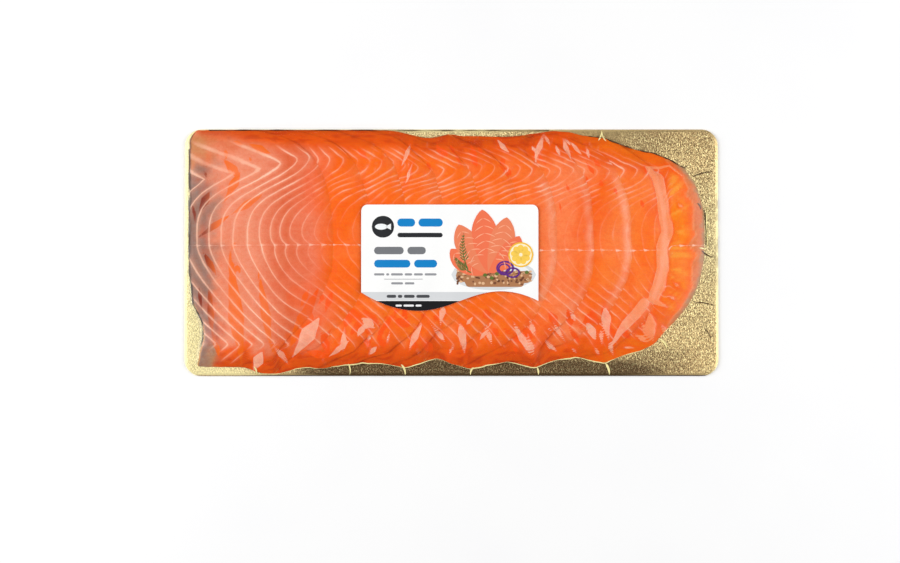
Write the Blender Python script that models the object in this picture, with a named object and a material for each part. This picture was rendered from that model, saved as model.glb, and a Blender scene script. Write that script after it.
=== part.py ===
"""Pack of smoked salmon.

A sliced side of smoked salmon lies on a gold card. The slices overlap like shingles: every slice has its
straight end on the card and its round end, which points to the tail, on the slices behind it. A clear film
is drawn down over the fish and sealed to the card out to the card's edge, and a paper label sticks to it.

Frame: +X runs along the card from the thick end of the fish to the tail, +Y across the card towards the
upper edge, +Z up. The origin is at the centre of the card's underside. Metres throughout.
"""

import math

import bmesh
import bpy

COLLECTION_NAME = "smoked_salmon_pack"

# Space left between two pieces that touch.
GAP = 0.0003

# Card.
CARD_LENGTH = 0.360
CARD_WIDTH = 0.1665
CARD_THICKNESS = 0.0012
CARD_CORNER_RADIUS = 0.011

# Slices, counted from the thick end. Each lies on the one that follows it.
SLICE_COUNT = 11
SLICE_LENGTH = 0.098
SLICE_PITCH = 0.0251
SLICE_THICKNESS = 0.0032
SLICE_FEATHER = 0.0005
SLICE_CORNER_RADIUS = 0.009
TAIL_TIP = 0.172
UPPER_REACH = (0.0805, 0.0806, 0.0804, 0.0806, 0.0805, 0.0800, 0.0780, 0.0798, 0.0785, 0.0806, 0.0760)
LOWER_REACH = (0.0768, 0.0772, 0.0806, 0.0785, 0.0760, 0.0752, 0.0775, 0.0784, 0.0745, 0.0784, 0.0765)
UPPER_ROUNDNESS = 3.2
LOWER_ROUNDNESS = 2.0
CLIMB = 0.004
ARC_STEPS = 16
CORNER_STEPS = 4
LEAN_STEPS = 6

# Straight end of a slice: below its middle it leans back towards the lower corner.
LEAN = 0.008
LEAN_START = -0.010

# Film.
FILM_THICKNESS = 0.0002
FILM_CLEARANCE = 0.0007
FILM_FOOT = 0.0018
FILM_ROWS = (-1.0, -0.94, -0.82, -0.65, -0.45, -0.22, 0.0, 0.22, 0.45, 0.65, 0.82, 0.94, 1.0)
FILM_COLUMN_SHARES = (0.25, 0.54, 0.84)
FILM_TAIL_COLUMNS = 8
FILM_LAST_COLUMN = 0.166
FILM_LEAST_CELL = 0.002
SAMPLES_PER_CELL = 5

# Label: a rounded rectangle whose lower edge is a wave.
LABEL_LEFT = -0.0606
LABEL_RIGHT = 0.0583
LABEL_TOP = 0.0317
LABEL_TROUGH = -0.0396
LABEL_CREST = -0.0265
LABEL_RIGHT_FOOT = -0.0330
LABEL_SHOULDER = -0.0272
LABEL_TROUGH_X = -0.0219
LABEL_CREST_X = 0.0331
LABEL_CORNER_RADIUS = 0.0043
LABEL_THICKNESS = 0.00015

# How far a cutting prism reaches past what it cuts.
OVERSHOOT = 0.002
PRISM_TOP = 0.030

CARD_TOP = CARD_THICKNESS
SLICE_BASE = CARD_TOP + GAP


def clamp(value, low, high):
    return max(low, min(high, value))


def clear_scene():
    for item in list(bpy.data.objects):
        bpy.data.objects.remove(item, do_unlink=True)


def make_material(name, colour, roughness, metallic=0.0, alpha=1.0):
    material = bpy.data.materials.new(name)
    material.use_nodes = True
    shader = material.node_tree.nodes["Principled BSDF"]
    shader.inputs["Base Color"].default_value = (*colour, 1.0)
    shader.inputs["Roughness"].default_value = roughness
    shader.inputs["Metallic"].default_value = metallic
    shader.inputs["Alpha"].default_value = alpha
    material.diffuse_color = (*colour, alpha)
    return material


def arc(centre_x, centre_y, radius, start, end, steps):
    """Points on a circle from one angle to another, both ends included."""
    points = []
    for step in range(steps + 1):
        angle = start + (end - start) * step / steps
        points.append((centre_x + radius * math.cos(angle), centre_y + radius * math.sin(angle)))
    return points


def prism(name, outline, low, high):
    """A closed mesh: a flat outline, given anticlockwise, between two heights."""
    curve = bpy.data.curves.new(name, "CURVE")
    curve.dimensions = "2D"
    curve.fill_mode = "BOTH"
    curve.extrude = (high - low) / 2
    spline = curve.splines.new("POLY")
    spline.points.add(len(outline) - 1)
    for point, (x, y) in zip(spline.points, outline):
        point.co = (x, y, 0.0, 1.0)
    spline.use_cyclic_u = True
    guide = bpy.data.objects.new(name + "_outline", curve)
    guide.location.z = (high + low) / 2
    bpy.context.scene.collection.objects.link(guide)
    solid = mesh_from(name, guide)
    bpy.data.objects.remove(guide, do_unlink=True)
    return solid


def mesh_from(name, source):
    """A welded mesh object with the evaluated shape and place of another object."""
    bpy.context.view_layer.update()
    evaluated = source.evaluated_get(bpy.context.evaluated_depsgraph_get())
    mesh = bpy.data.meshes.new_from_object(evaluated)
    mesh.transform(source.matrix_world)
    mesh.name = name
    shape = bmesh.new()
    shape.from_mesh(mesh)
    bmesh.ops.remove_doubles(shape, verts=shape.verts, dist=1e-6)
    bmesh.ops.recalc_face_normals(shape, faces=shape.faces)
    shape.to_mesh(mesh)
    shape.free()
    solid = bpy.data.objects.new(name, mesh)
    bpy.context.scene.collection.objects.link(solid)
    return solid


def keep_common(solid, cutter):
    """Cuts a solid down to what it shares with the cutter, and removes the cutter."""
    cut = solid.modifiers.new("common", "BOOLEAN")
    cut.operation = "INTERSECT"
    cut.solver = "EXACT"
    cut.object = cutter
    result = mesh_from(solid.name + "_cut", solid)
    name = solid.name
    bpy.data.objects.remove(solid, do_unlink=True)
    bpy.data.objects.remove(cutter, do_unlink=True)
    result.name = name
    result.data.name = name
    return result


def rounded_rectangle(length, width, radius, steps=8):
    x = length / 2 - radius
    y = width / 2 - radius
    quarter = math.pi / 2
    outline = []
    for number, (centre_x, centre_y) in enumerate(((x, y), (-x, y), (-x, -y), (x, -y))):
        outline += arc(centre_x, centre_y, radius, number * quarter, (number + 1) * quarter, steps)
    return outline


# --- Slices -------------------------------------------------------------------------------------------------


def slice_tip(number):
    return TAIL_TIP - (SLICE_COUNT - 1 - number) * SLICE_PITCH


def slice_start(number):
    return slice_tip(number) - SLICE_LENGTH


def straight_end(number, y):
    """X of a slice's straight end at a place across the slice."""
    drop = clamp((LEAN_START - y) / (LOWER_REACH[number] + LEAN_START), 0.0, 1.0)
    return slice_start(number) + LEAN * drop**1.3


def quarter_width(number, x, reach, roundness):
    """Half width of a slice at x, on the side with the given reach."""
    along = clamp((x - slice_start(number)) / SLICE_LENGTH, 0.0, 1.0)
    return reach[number] * (1.0 - along**roundness) ** (1.0 / roundness)


def upper_edge(number, x):
    return quarter_width(number, x, UPPER_REACH, UPPER_ROUNDNESS)


def lower_edge(number, x):
    return -quarter_width(number, x, LOWER_REACH, LOWER_ROUNDNESS)


def quarter_outline(number, reach, roundness, setback):
    """Points on the side of +Y from the round tip to the rounded corner of the straight end."""
    corner = (SLICE_CORNER_RADIUS + setback) / SLICE_LENGTH
    last = math.acos(corner ** (roundness / 2))
    points = []
    for step in range(ARC_STEPS + 1):
        angle = last * step / ARC_STEPS
        x = slice_start(number) + SLICE_LENGTH * math.cos(angle) ** (2 / roundness)
        y = reach[number] * math.sin(angle) ** (2 / roundness)
        points.append((x, y))
    return points


def slice_plan(number):
    """Outline of a slice from above, anticlockwise from its round tip."""
    start = slice_start(number)
    radius = SLICE_CORNER_RADIUS
    upper = quarter_outline(number, UPPER_REACH, UPPER_ROUNDNESS, 0.0)
    lower = [(x, -y) for x, y in quarter_outline(number, LOWER_REACH, LOWER_ROUNDNESS, LEAN)]
    half_turn = math.pi
    upper_corner = arc(start + radius, upper[-1][1] - radius, radius, half_turn / 2, half_turn, CORNER_STEPS)
    centre_y = lower[-1][1] + radius
    lower_corner = arc(start + LEAN + radius, centre_y, radius, half_turn, half_turn * 1.5, CORNER_STEPS)
    lean = []
    for step in range(LEAN_STEPS):
        y = LEAN_START + (centre_y - LEAN_START) * step / LEAN_STEPS
        lean.append((straight_end(number, y), y))
    return upper + upper_corner[1:] + lean + lower_corner + lower[-2:0:-1]


def full_share(number, x):
    """How much of its full thickness a slice has at x: it thins out towards its straight end."""
    return clamp((x - slice_start(number)) / SLICE_PITCH, 0.0, 1.0)


def slice_thickness(number, x):
    return SLICE_FEATHER + (SLICE_THICKNESS - SLICE_FEATHER) * full_share(number, x)


def slice_underside(number, x):
    """Height of a slice's underside: it climbs over each slice that lies under it."""
    height = SLICE_BASE
    for under in range(number + 1, SLICE_COUNT):
        climbed = clamp((x - slice_start(under)) / CLIMB + 1.0, 0.0, 1.0)
        height += climbed * (SLICE_FEATHER + GAP)
        height += (SLICE_THICKNESS - SLICE_FEATHER) * full_share(under, x)
    return height


def slice_topside(number, x):
    return slice_underside(number, x) + slice_thickness(number, x)


def bends(number):
    """X of every bend in a slice's lengthwise section, which runs a little past the slice at both ends."""
    start = slice_start(number)
    tip = slice_tip(number)
    places = {start, start + SLICE_PITCH, slice_start(SLICE_COUNT - 1) + SLICE_PITCH}
    for under in range(number + 1, SLICE_COUNT):
        places.add(slice_start(under) - CLIMB)
        places.add(slice_start(under))
    between = [x for x in places if start <= x < tip]
    return sorted([start - OVERSHOOT, tip + OVERSHOOT] + between)


def merge_close(values, distance):
    kept = [values[0]]
    for value in values[1:]:
        if value - kept[-1] > distance:
            kept.append(value)
    return kept


def slice_section(number):
    """Lengthwise section of a slice as an outline in X and Z, anticlockwise."""
    places = merge_close(bends(number), 1e-5)
    below = [(x, slice_underside(number, x)) for x in places]
    above = [(x, slice_topside(number, x)) for x in places]
    return below + above[::-1]


def make_slice(number, material):
    """The lengthwise section, as wide as the card, cut to the slice's plan."""
    name = f"slice_{number + 1:02d}"
    solid = prism(name, slice_section(number), -CARD_WIDTH / 2, CARD_WIDTH / 2)
    for vertex in solid.data.vertices:
        x, height, depth = vertex.co
        vertex.co = (x, -depth, height)
    cutter = prism(name + "_plan", slice_plan(number), 0.0, PRISM_TOP)
    solid = keep_common(solid, cutter)
    solid.data.materials.append(material)
    return solid


# --- Film ---------------------------------------------------------------------------------------------------


def inside_slice(number, x, y):
    if not straight_end(number, y) <= x <= slice_tip(number):
        return False
    return lower_edge(number, x) <= y <= upper_edge(number, x)


def fish_top(x, y):
    """Height of the highest slice at a place, or of the card where there is none."""
    height = CARD_TOP
    for number in range(SLICE_COUNT):
        if inside_slice(number, x, y):
            height = max(height, slice_topside(number, x))
    return height


def fish_edges(x):
    """Lowest and highest y that the fish reaches within the film's clearance of x."""
    low = 0.0
    high = 0.0
    for place in (x - FILM_CLEARANCE, x, x + FILM_CLEARANCE):
        for number in range(SLICE_COUNT):
            if slice_start(number) <= place <= slice_tip(number):
                low = min(low, lower_edge(number, place))
                high = max(high, upper_edge(number, place))
    return low, high


def tail_edge(y):
    """X of the tail's round edge at a place across the fish."""
    last = SLICE_COUNT - 1
    reach, roundness = (UPPER_REACH, UPPER_ROUNDNESS) if y > 0.0 else (LOWER_REACH, LOWER_ROUNDNESS)
    across = min(1.0, abs(y) / reach[last])
    return slice_start(last) + SLICE_LENGTH * (1.0 - across**roundness) ** (1.0 / roundness)


def film_columns():
    """X of the film's columns over the fish, four to each slice and closer at the tail."""
    columns = []
    for number in range(SLICE_COUNT):
        start = slice_start(number)
        columns.append(start - FILM_CLEARANCE)
        columns += [start + SLICE_PITCH * share for share in FILM_COLUMN_SHARES]
    last = columns[-1]
    step = (FILM_LAST_COLUMN - last) / FILM_TAIL_COLUMNS
    columns += [last + step * number for number in range(1, FILM_TAIL_COLUMNS + 1)]
    return columns


def film_grid():
    """The film's net of points, column by column.

    The two outer columns at each end and the two outer rows at each side lie on the card. The others lie
    on the fish: the first and last of them follow its two ends, and the rows follow its sides.
    """
    rim_x = CARD_LENGTH / 2 + OVERSHOOT
    rim_y = CARD_WIDTH / 2 + OVERSHOOT
    columns = film_columns()
    net = [[] for _ in range(len(columns) + 5)]
    for number, x in enumerate([columns[0]] * 2 + columns + [columns[-1]] * 3):
        low, high = fish_edges(x)
        middle = (low + high) / 2
        half = (high - low) / 2 + FILM_CLEARANCE
        rows = [middle + half * share for share in FILM_ROWS]
        rows = [-rim_y, rows[0] - FILM_FOOT] + rows + [rows[-1] + FILM_FOOT, rim_y]
        for y in rows:
            near_end = straight_end(0, y) - FILM_CLEARANCE
            far_end = tail_edge(y) + FILM_CLEARANCE
            ends = {
                0: -rim_x,
                1: near_end - FILM_FOOT,
                2: near_end,
                3: max(x, near_end + FILM_LEAST_CELL),
                len(net) - 3: max(columns[-1] + FILM_CLEARANCE, far_end),
                len(net) - 2: max(columns[-1] + FILM_CLEARANCE, far_end) + FILM_FOOT,
                len(net) - 1: rim_x,
            }
            net[number].append((ends.get(number, x), y))
    return net


def cell_height(points, column, row):
    """Greatest height of the fish under one cell of the net."""
    left_low, left_high = points[column][row], points[column][row + 1]
    right_low, right_high = points[column + 1][row], points[column + 1][row + 1]
    height = CARD_TOP
    for step_x in range(SAMPLES_PER_CELL + 1):
        u = step_x / SAMPLES_PER_CELL
        x = left_low[0] + (right_low[0] - left_low[0]) * u
        low = left_low[1] + (right_low[1] - left_low[1]) * u
        high = left_high[1] + (right_high[1] - left_high[1]) * u
        for step_y in range(SAMPLES_PER_CELL + 1):
            height = max(height, fish_top(x, low + (high - low) * step_y / SAMPLES_PER_CELL))
    return height


def film_heights(points):
    """Height of the film's underside over each point: clear of every cell that the point belongs to."""
    heights = [[CARD_TOP + GAP for _ in column] for column in points]
    for column in range(2, len(points) - 3):
        for row in range(2, len(points[0]) - 3):
            needed = cell_height(points, column, row) + GAP
            for near_column in (column, column + 1):
                for near_row in (row, row + 1):
                    heights[near_column][near_row] = max(heights[near_column][near_row], needed)
    return heights


def draped_sheet(name, points, heights, lift, thickness):
    """A sheet of one thickness that follows the net, at a height above the film's underside."""
    shape = bmesh.new()
    columns = len(points)
    rows = len(points[0])
    bmesh.ops.create_grid(shape, x_segments=columns - 1, y_segments=rows - 1, size=1.0)
    shape.verts.ensure_lookup_table()
    ordered = sorted(shape.verts, key=lambda vertex: (round(vertex.co.x, 5), round(vertex.co.y, 5)))
    for index, vertex in enumerate(ordered):
        column, row = divmod(index, rows)
        x, y = points[column][row]
        vertex.co = (x, y, heights[column][row] + lift)
    bmesh.ops.triangulate(shape, faces=shape.faces, quad_method="FIXED")
    extruded = bmesh.ops.extrude_face_region(shape, geom=list(shape.faces))
    raised = [item for item in extruded["geom"] if isinstance(item, bmesh.types.BMVert)]
    bmesh.ops.translate(shape, verts=raised, vec=(0.0, 0.0, thickness))
    bmesh.ops.recalc_face_normals(shape, faces=shape.faces)
    mesh = bpy.data.meshes.new(name)
    shape.to_mesh(mesh)
    shape.free()
    sheet = bpy.data.objects.new(name, mesh)
    bpy.context.scene.collection.objects.link(sheet)
    return sheet


def make_film(points, heights, material):
    sheet = draped_sheet("film", points, heights, 0.0, FILM_THICKNESS)
    outline = rounded_rectangle(CARD_LENGTH, CARD_WIDTH, CARD_CORNER_RADIUS)
    film = keep_common(sheet, prism("film_trim", outline, 0.0, PRISM_TOP))
    film.data.materials.append(material)
    return film


# --- Label --------------------------------------------------------------------------------------------------


def wave(x):
    """Lower edge of the label: a trough on the left and a crest on the right."""
    if x < LABEL_TROUGH_X:
        share = (x - LABEL_LEFT) / (LABEL_TROUGH_X - LABEL_LEFT)
        return LABEL_TROUGH + (LABEL_SHOULDER - LABEL_TROUGH) * (1.0 - share) ** 2
    if x < LABEL_CREST_X:
        share = (x - LABEL_TROUGH_X) / (LABEL_CREST_X - LABEL_TROUGH_X)
        return LABEL_TROUGH + (LABEL_CREST - LABEL_TROUGH) * (1.0 - math.cos(share * math.pi)) / 2
    share = (x - LABEL_CREST_X) / (LABEL_RIGHT - LABEL_CREST_X)
    return LABEL_CREST + (LABEL_RIGHT_FOOT - LABEL_CREST) * share**2


def label_outline():
    radius = LABEL_CORNER_RADIUS
    quarter = math.pi / 2
    outline = arc(LABEL_RIGHT - radius, LABEL_TOP - radius, radius, 0.0, quarter, 4)
    outline += arc(LABEL_LEFT + radius, LABEL_TOP - radius, radius, quarter, math.pi, 4)
    steps = 24
    for step in range(steps + 1):
        x = LABEL_LEFT + (LABEL_RIGHT - LABEL_LEFT) * step / steps
        outline.append((x, wave(x)))
    return outline


def make_label(points, heights, material):
    lift = FILM_THICKNESS + GAP
    sheet = draped_sheet("label", points, heights, lift, LABEL_THICKNESS)
    label = keep_common(sheet, prism("label_trim", label_outline(), 0.0, PRISM_TOP))
    label.data.materials.append(material)
    return label


# --- Whole --------------------------------------------------------------------------------------------------


def make_card(material):
    outline = rounded_rectangle(CARD_LENGTH, CARD_WIDTH, CARD_CORNER_RADIUS)
    card = prism("card", outline, 0.0, CARD_THICKNESS)
    card.data.materials.append(material)
    return card


def main():
    clear_scene()
    gold = make_material("gold_card", (0.62, 0.47, 0.20), 0.38, metallic=0.9)
    flesh = make_material("salmon", (0.86, 0.18, 0.04), 0.45)
    clear = make_material("film", (0.95, 0.95, 0.95), 0.08, alpha=0.25)
    paper = make_material("label_paper", (0.90, 0.90, 0.89), 0.40)

    pieces = [make_card(gold)]
    for number in range(SLICE_COUNT):
        pieces.append(make_slice(number, flesh))
    points = film_grid()
    heights = film_heights(points)
    pieces.append(make_film(points, heights, clear))
    pieces.append(make_label(points, heights, paper))

    collection = bpy.data.collections.new(COLLECTION_NAME)
    bpy.context.scene.collection.children.link(collection)
    pack = bpy.data.objects.new("pack", None)
    collection.objects.link(pack)
    for piece in pieces:
        bpy.context.scene.collection.objects.unlink(piece)
        collection.objects.link(piece)
        piece.parent = pack


main()
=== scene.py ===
"""Looks of a pack of smoked salmon.

Eleven overlapping slices lie on a gold card, under a clear film that is drawn down over them and sealed to
the card out to its edge, with a printed paper label on the film.

Lengths here are millimetres, and become metres when a mesh is made. +X runs towards the tail of the fish,
+Y towards the card's upper edge and +Z up, as in the frame.
"""

import math

import bpy
import numpy as np
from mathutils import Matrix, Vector


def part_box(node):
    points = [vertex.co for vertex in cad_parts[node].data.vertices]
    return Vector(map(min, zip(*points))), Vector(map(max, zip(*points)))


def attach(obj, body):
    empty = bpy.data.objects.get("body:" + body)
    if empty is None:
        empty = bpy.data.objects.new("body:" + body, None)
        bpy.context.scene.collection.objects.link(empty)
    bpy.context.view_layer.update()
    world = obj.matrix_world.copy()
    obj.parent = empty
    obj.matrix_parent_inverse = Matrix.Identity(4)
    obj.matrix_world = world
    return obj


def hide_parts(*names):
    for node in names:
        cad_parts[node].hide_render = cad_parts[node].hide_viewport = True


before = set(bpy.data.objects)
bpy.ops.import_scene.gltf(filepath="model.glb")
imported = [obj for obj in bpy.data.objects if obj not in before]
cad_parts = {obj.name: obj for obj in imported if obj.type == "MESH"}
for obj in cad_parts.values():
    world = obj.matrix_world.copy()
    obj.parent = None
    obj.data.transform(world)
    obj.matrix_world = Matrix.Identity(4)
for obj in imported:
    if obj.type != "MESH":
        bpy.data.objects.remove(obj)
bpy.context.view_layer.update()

MM = 0.001
SEED = 11


# --- Numbers and fields ---------------------------------------------------------------------------


def ease(low, high, value):
    """Smooth step from 0 at `low` to 1 at `high`, whichever of them is the greater."""
    share = np.clip((value - low) / (high - low), 0, 1)
    return share * share * (3 - 2 * share)


def smooth_least(first, second, width):
    """The lesser of two values, with a rounded turn from one to the other."""
    share = np.clip(0.5 + 0.5 * (second - first) / width, 0, 1)
    return second + (first - second) * share - width * share * (1 - share)


def rounded_rise(share):
    """A quarter ellipse from 0 to 1."""
    return np.sqrt(1 - (1 - np.clip(share, 0, 1)) ** 2)


def sample(field, across, up, turn):
    """A field's value between its cells. `turn` shapes the way from one cell to the next."""
    column = np.floor(across).astype(int)
    row = np.floor(up).astype(int)
    u = turn(across - column)
    v = turn(up - row)
    rows, columns = field.shape

    def along(line):
        line = line % rows
        return field[line, column % columns] * (1 - u) + field[line, (column + 1) % columns] * u
    return along(row) * (1 - v) + along(row + 1) * v


def noise(x, y, scale, seed):
    """Smooth noise between -1 and 1, whose bumps are about one scale across. It repeats after 128."""
    size = 128
    lattice = np.random.default_rng(seed).uniform(-1, 1, (size, size))
    across = np.asarray(x) / scale + size / 2
    return sample(lattice, across, np.asarray(y) / scale + size / 2, lambda share: ease(0, 1, share))


def blur(field, sigma):
    """Gaussian blur along each axis of a field, sigma in cells."""
    reach = int(3 * sigma) + 1
    kernel = np.exp(-0.5 * (np.arange(-reach, reach + 1) / sigma) ** 2)
    kernel /= kernel.sum()
    for axis, size in enumerate(field.shape):
        margins = [(reach, reach) if other == axis else (0, 0) for other in range(field.ndim)]
        padded = np.pad(field, margins, mode="edge")
        slid = (np.take(padded, range(step, step + size), axis) for step in range(len(kernel)))
        field = sum(weight * part for weight, part in zip(kernel, slid))
    return field


def tent(height, fall):
    """The lowest surface over a height field that falls no more than this much from cell to cell."""
    for _ in range(4):
        ramp = np.arange(len(height))[:, None] * fall
        height = np.rot90(np.maximum.accumulate(height + ramp) - ramp)
    return height


def kite(x, y, x0, y0, x1, y1, half_width, belly=0.5):
    """How far inside a kite a place is; below 0 outside.

    A kite runs from (x0, y0) to (x1, y1), and is widest, by half_width to each side, at the share `belly`.
    """
    length = math.hypot(x1 - x0, y1 - y0)
    along_x = (x1 - x0) / length
    along_y = (y1 - y0) / length
    share = ((x - x0) * along_x + (y - y0) * along_y) / length
    across = np.abs((y - y0) * along_x - (x - x0) * along_y)
    return half_width * np.minimum(share / belly, (1 - share) / (1 - belly)) - across


def link(x, y, start, end):
    """How far inside a tapering strip with round ends a place is. Each end is (x, y, half width)."""
    step_x = end[0] - start[0]
    step_y = end[1] - start[1]
    share = np.clip(((x - start[0]) * step_x + (y - start[1]) * step_y) / (step_x**2 + step_y**2), 0, 1)
    gap = np.hypot(x - start[0] - share * step_x, y - start[1] - share * step_y)
    return start[2] + (end[2] - start[2]) * share - gap


def inside_any(x, y, kites, strips=()):
    """How far inside any of some kites and strips a place is; below 0 outside them all."""
    inside = [kite(x, y, *shape) for shape in kites]
    for points in strips:
        inside += [link(x, y, start, end) for start, end in zip(points, points[1:])]
    return np.clip(np.max(inside, axis=0), -6, 6)


# --- The frame in millimetres ---------------------------------------------------------------------


def box_mm(node):
    return np.array(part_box(node)) / MM


SLICE_NODES = sorted(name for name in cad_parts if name.startswith("slice_"))
COUNT = len(SLICE_NODES)
SLICE_LOW, SLICE_HIGH = np.swapaxes([box_mm(name) for name in SLICE_NODES], 0, 1)
START = SLICE_LOW[:, 0]
TIP = SLICE_HIGH[:, 0]
UPPER_REACH = SLICE_HIGH[:, 1]
LOWER_REACH = -SLICE_LOW[:, 1]
LENGTH = TIP[0] - START[0]
PITCH = TIP[1] - TIP[0]
BASE = SLICE_LOW[-1, 2]
FULL = SLICE_HIGH[-1, 2] - BASE
FEATHER = 0.5
GAP = 0.3
CLIMB = 4
UPPER_ROUNDNESS = 3.2
LOWER_ROUNDNESS = 2
CORNER = 9
LEAN = 8
LEAN_START = -10

CARD_HALF_X, CARD_HALF_Y, CARD_TOP = box_mm("card")[1]
CARD_RADIUS = 11
LABEL_LOW, LABEL_HIGH = box_mm("label")


# --- Making meshes --------------------------------------------------------------------------------


def make_piece(name, points, faces, values, material, slot, node=None, sharp=None):
    """One piece on the root body. `values` holds numbers or colours of four channels for its points."""
    mesh = bpy.data.meshes.new(name)
    mesh.from_pydata((points * MM).tolist(), [], faces.tolist())
    mesh.validate()
    mesh.shade_smooth()
    if sharp:
        mesh.set_sharp_from_angle(angle=math.radians(sharp))
    for key, value in values.items():
        kind, channel = ("FLOAT_COLOR", "color") if value.shape[1] == 4 else ("FLOAT", "value")
        layer = mesh.attributes.new(key, kind, "POINT")
        layer.data.foreach_set(channel, value.astype(np.float32).ravel())
    mesh.materials.append(material)
    piece = bpy.data.objects.new(name, mesh)
    bpy.context.scene.collection.objects.link(piece)
    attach(piece, "root")
    if node:
        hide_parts(node)


def slab_mesh(x, y, low, high):
    """Points and faces of a closed slab over a grid of places, whose rows run along +X."""
    rows, columns = x.shape
    count = rows * columns
    top = np.stack([x, y, high], -1).reshape(-1, 3)
    bottom = np.stack([x, y, low], -1).reshape(-1, 3)
    index = np.arange(count).reshape(rows, columns)
    upper = np.stack([index[:-1, :-1], index[:-1, 1:], index[1:, 1:], index[1:, :-1]], -1).reshape(-1, 4)
    rim = np.concatenate([index[0, :], index[1:, -1], index[-1, -2::-1], index[-2:0:-1, 0]])
    following = np.roll(rim, -1)
    walls = np.stack([rim + count, following + count, following, rim], -1)
    return np.concatenate([top, bottom]), np.concatenate([upper, upper[:, ::-1] + count, walls])


def make_slab(name, x, y, low, high, values, *rest, **options):
    """A slab whose two faces carry the same values, and "outer", which is 1 on the upper one."""
    doubled = {key: np.tile(value.reshape(x.size, -1), (2, 1)) for key, value in values.items()}
    doubled["outer"] = np.repeat([[1], [0]], x.size, axis=0)
    make_piece(name, *slab_mesh(x, y, low, high), doubled, *rest, **options)


def ribbon(spine, width, steps=24, across=5):
    """Grid of places along a curve, `width` to each side. Both are functions of a share from 0 to 1."""
    share = np.linspace(0, 1, steps)
    points = np.array([spine(value) for value in share], float)
    ahead = np.gradient(points, axis=0)
    ahead /= np.linalg.norm(ahead, axis=1)[:, None] + 1e-9
    side = np.stack([ahead[:, 1], -ahead[:, 0]], -1)
    half = np.maximum([width(value) for value in share], 0.02)
    places = points[:, None] + side[:, None] * (half[:, None] * np.linspace(-1, 1, across))[..., None]
    return places[..., 0], places[..., 1]


def between(start, end, bend=0):
    """A gently bowed line from one place to another."""
    start = np.array(start, float)
    way = np.array(end, float) - start
    side = np.array([-way[1], way[0]])
    return lambda share: start + way * share + side * bend * 4 * share * (1 - share)


def oval_width(half):
    return lambda share: half * math.sqrt(max(0, 1 - (2 * share - 1) ** 2))


def leaf_width(half, belly=0.5):
    return lambda share: half * math.sin(min(share / belly, (1 - share) / (1 - belly)) * math.pi / 2) ** 0.7


def make_layer(name, shapes, foot, thickness, material, slot):
    """Thin areas that lie on a surface, joined in one piece. `foot` gives the height of their undersides."""
    points = []
    faces = []
    count = 0
    for x, y in shapes:
        low = foot(x, y)
        corners, sides = slab_mesh(x, y, low, low + thickness)
        points.append(corners)
        faces.append(sides + count)
        count += len(corners)
    make_piece(name, np.concatenate(points), np.concatenate(faces), {}, material, slot, sharp=40)


# --- Building materials ---------------------------------------------------------------------------


def linear(red, green, blue):
    """A colour given as it looks on a screen, 0 to 255, as the renderer counts it."""
    share = np.array([red, green, blue]) / 255
    return np.where(share <= 0.04045, share / 12.92, ((share + 0.055) / 1.055) ** 2.4)


class Shader:
    """One material and its nodes. Each method but the last two returns an output socket."""

    def __init__(self, name):
        self.material = bpy.data.materials.new(name)
        self.material.use_nodes = True
        self.tree = self.material.node_tree
        self.tree.nodes.clear()

    def node(self, kind, inputs=None, output=0, **settings):
        made = self.tree.nodes.new("ShaderNode" + kind)
        for key, value in settings.items():
            setattr(made, key, value)
        for key, value in (inputs or {}).items():
            socket = made.inputs[key]
            if isinstance(value, bpy.types.NodeSocket):
                self.tree.links.new(value, socket)
            elif hasattr(socket.default_value, "__len__") and len(value) < len(socket.default_value):
                socket.default_value = (*value, 1)
            else:
                socket.default_value = value
        return made.outputs[output]

    def attribute(self, name, output="Fac"):
        return self.node("Attribute", output=output, attribute_name=name)

    def math(self, operation, first, second=0):
        return self.node("Math", {0: first, 1: second}, operation=operation)

    def plus(self, first, second):
        return self.math("ADD", first, second)

    def times(self, first, second):
        return self.math("MULTIPLY", first, second)

    def step(self, value, low, high, to_low=0, to_high=1):
        inputs = {"Value": value, "From Min": low, "From Max": high, "To Min": to_low, "To Max": to_high}
        return self.node("MapRange", inputs, interpolation_type="SMOOTHSTEP")

    def mix(self, share, first, second, blend="MIX"):
        inputs = {0: share, 6: first, 7: second}
        return self.node("Mix", inputs, output=2, data_type="RGBA", blend_type=blend)

    def place(self, stretch=(1, 1, 1)):
        """The piece's own coordinates in metres, each axis multiplied."""
        return self.node("Mapping", {"Vector": self.node("TexCoord", output="Object"), "Scale": stretch})

    def noise(self, per_metre, detail=2, roughness=0.5, stretch=(1, 1, 1)):
        inputs = {"Vector": self.place(stretch), "Scale": per_metre, "Detail": detail, "Roughness": roughness}
        return self.node("TexNoise", inputs, output="Fac")

    def bump(self, height, distance, strength):
        return self.node("Bump", {"Height": height, "Distance": distance, "Strength": strength})

    def principled(self, **inputs):
        """The finished material, of one principled surface."""
        named = {key.replace("_", " "): value for key, value in inputs.items()}
        return self.done(self.node("BsdfPrincipled", named))

    def done(self, surface):
        """The finished material."""
        output = self.tree.nodes.new("ShaderNodeOutputMaterial")
        self.tree.links.new(surface, output.inputs["Surface"])
        return self.material


# --- Where the film is lifted off the fish, and where it sticks to it -----------------------------

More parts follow.
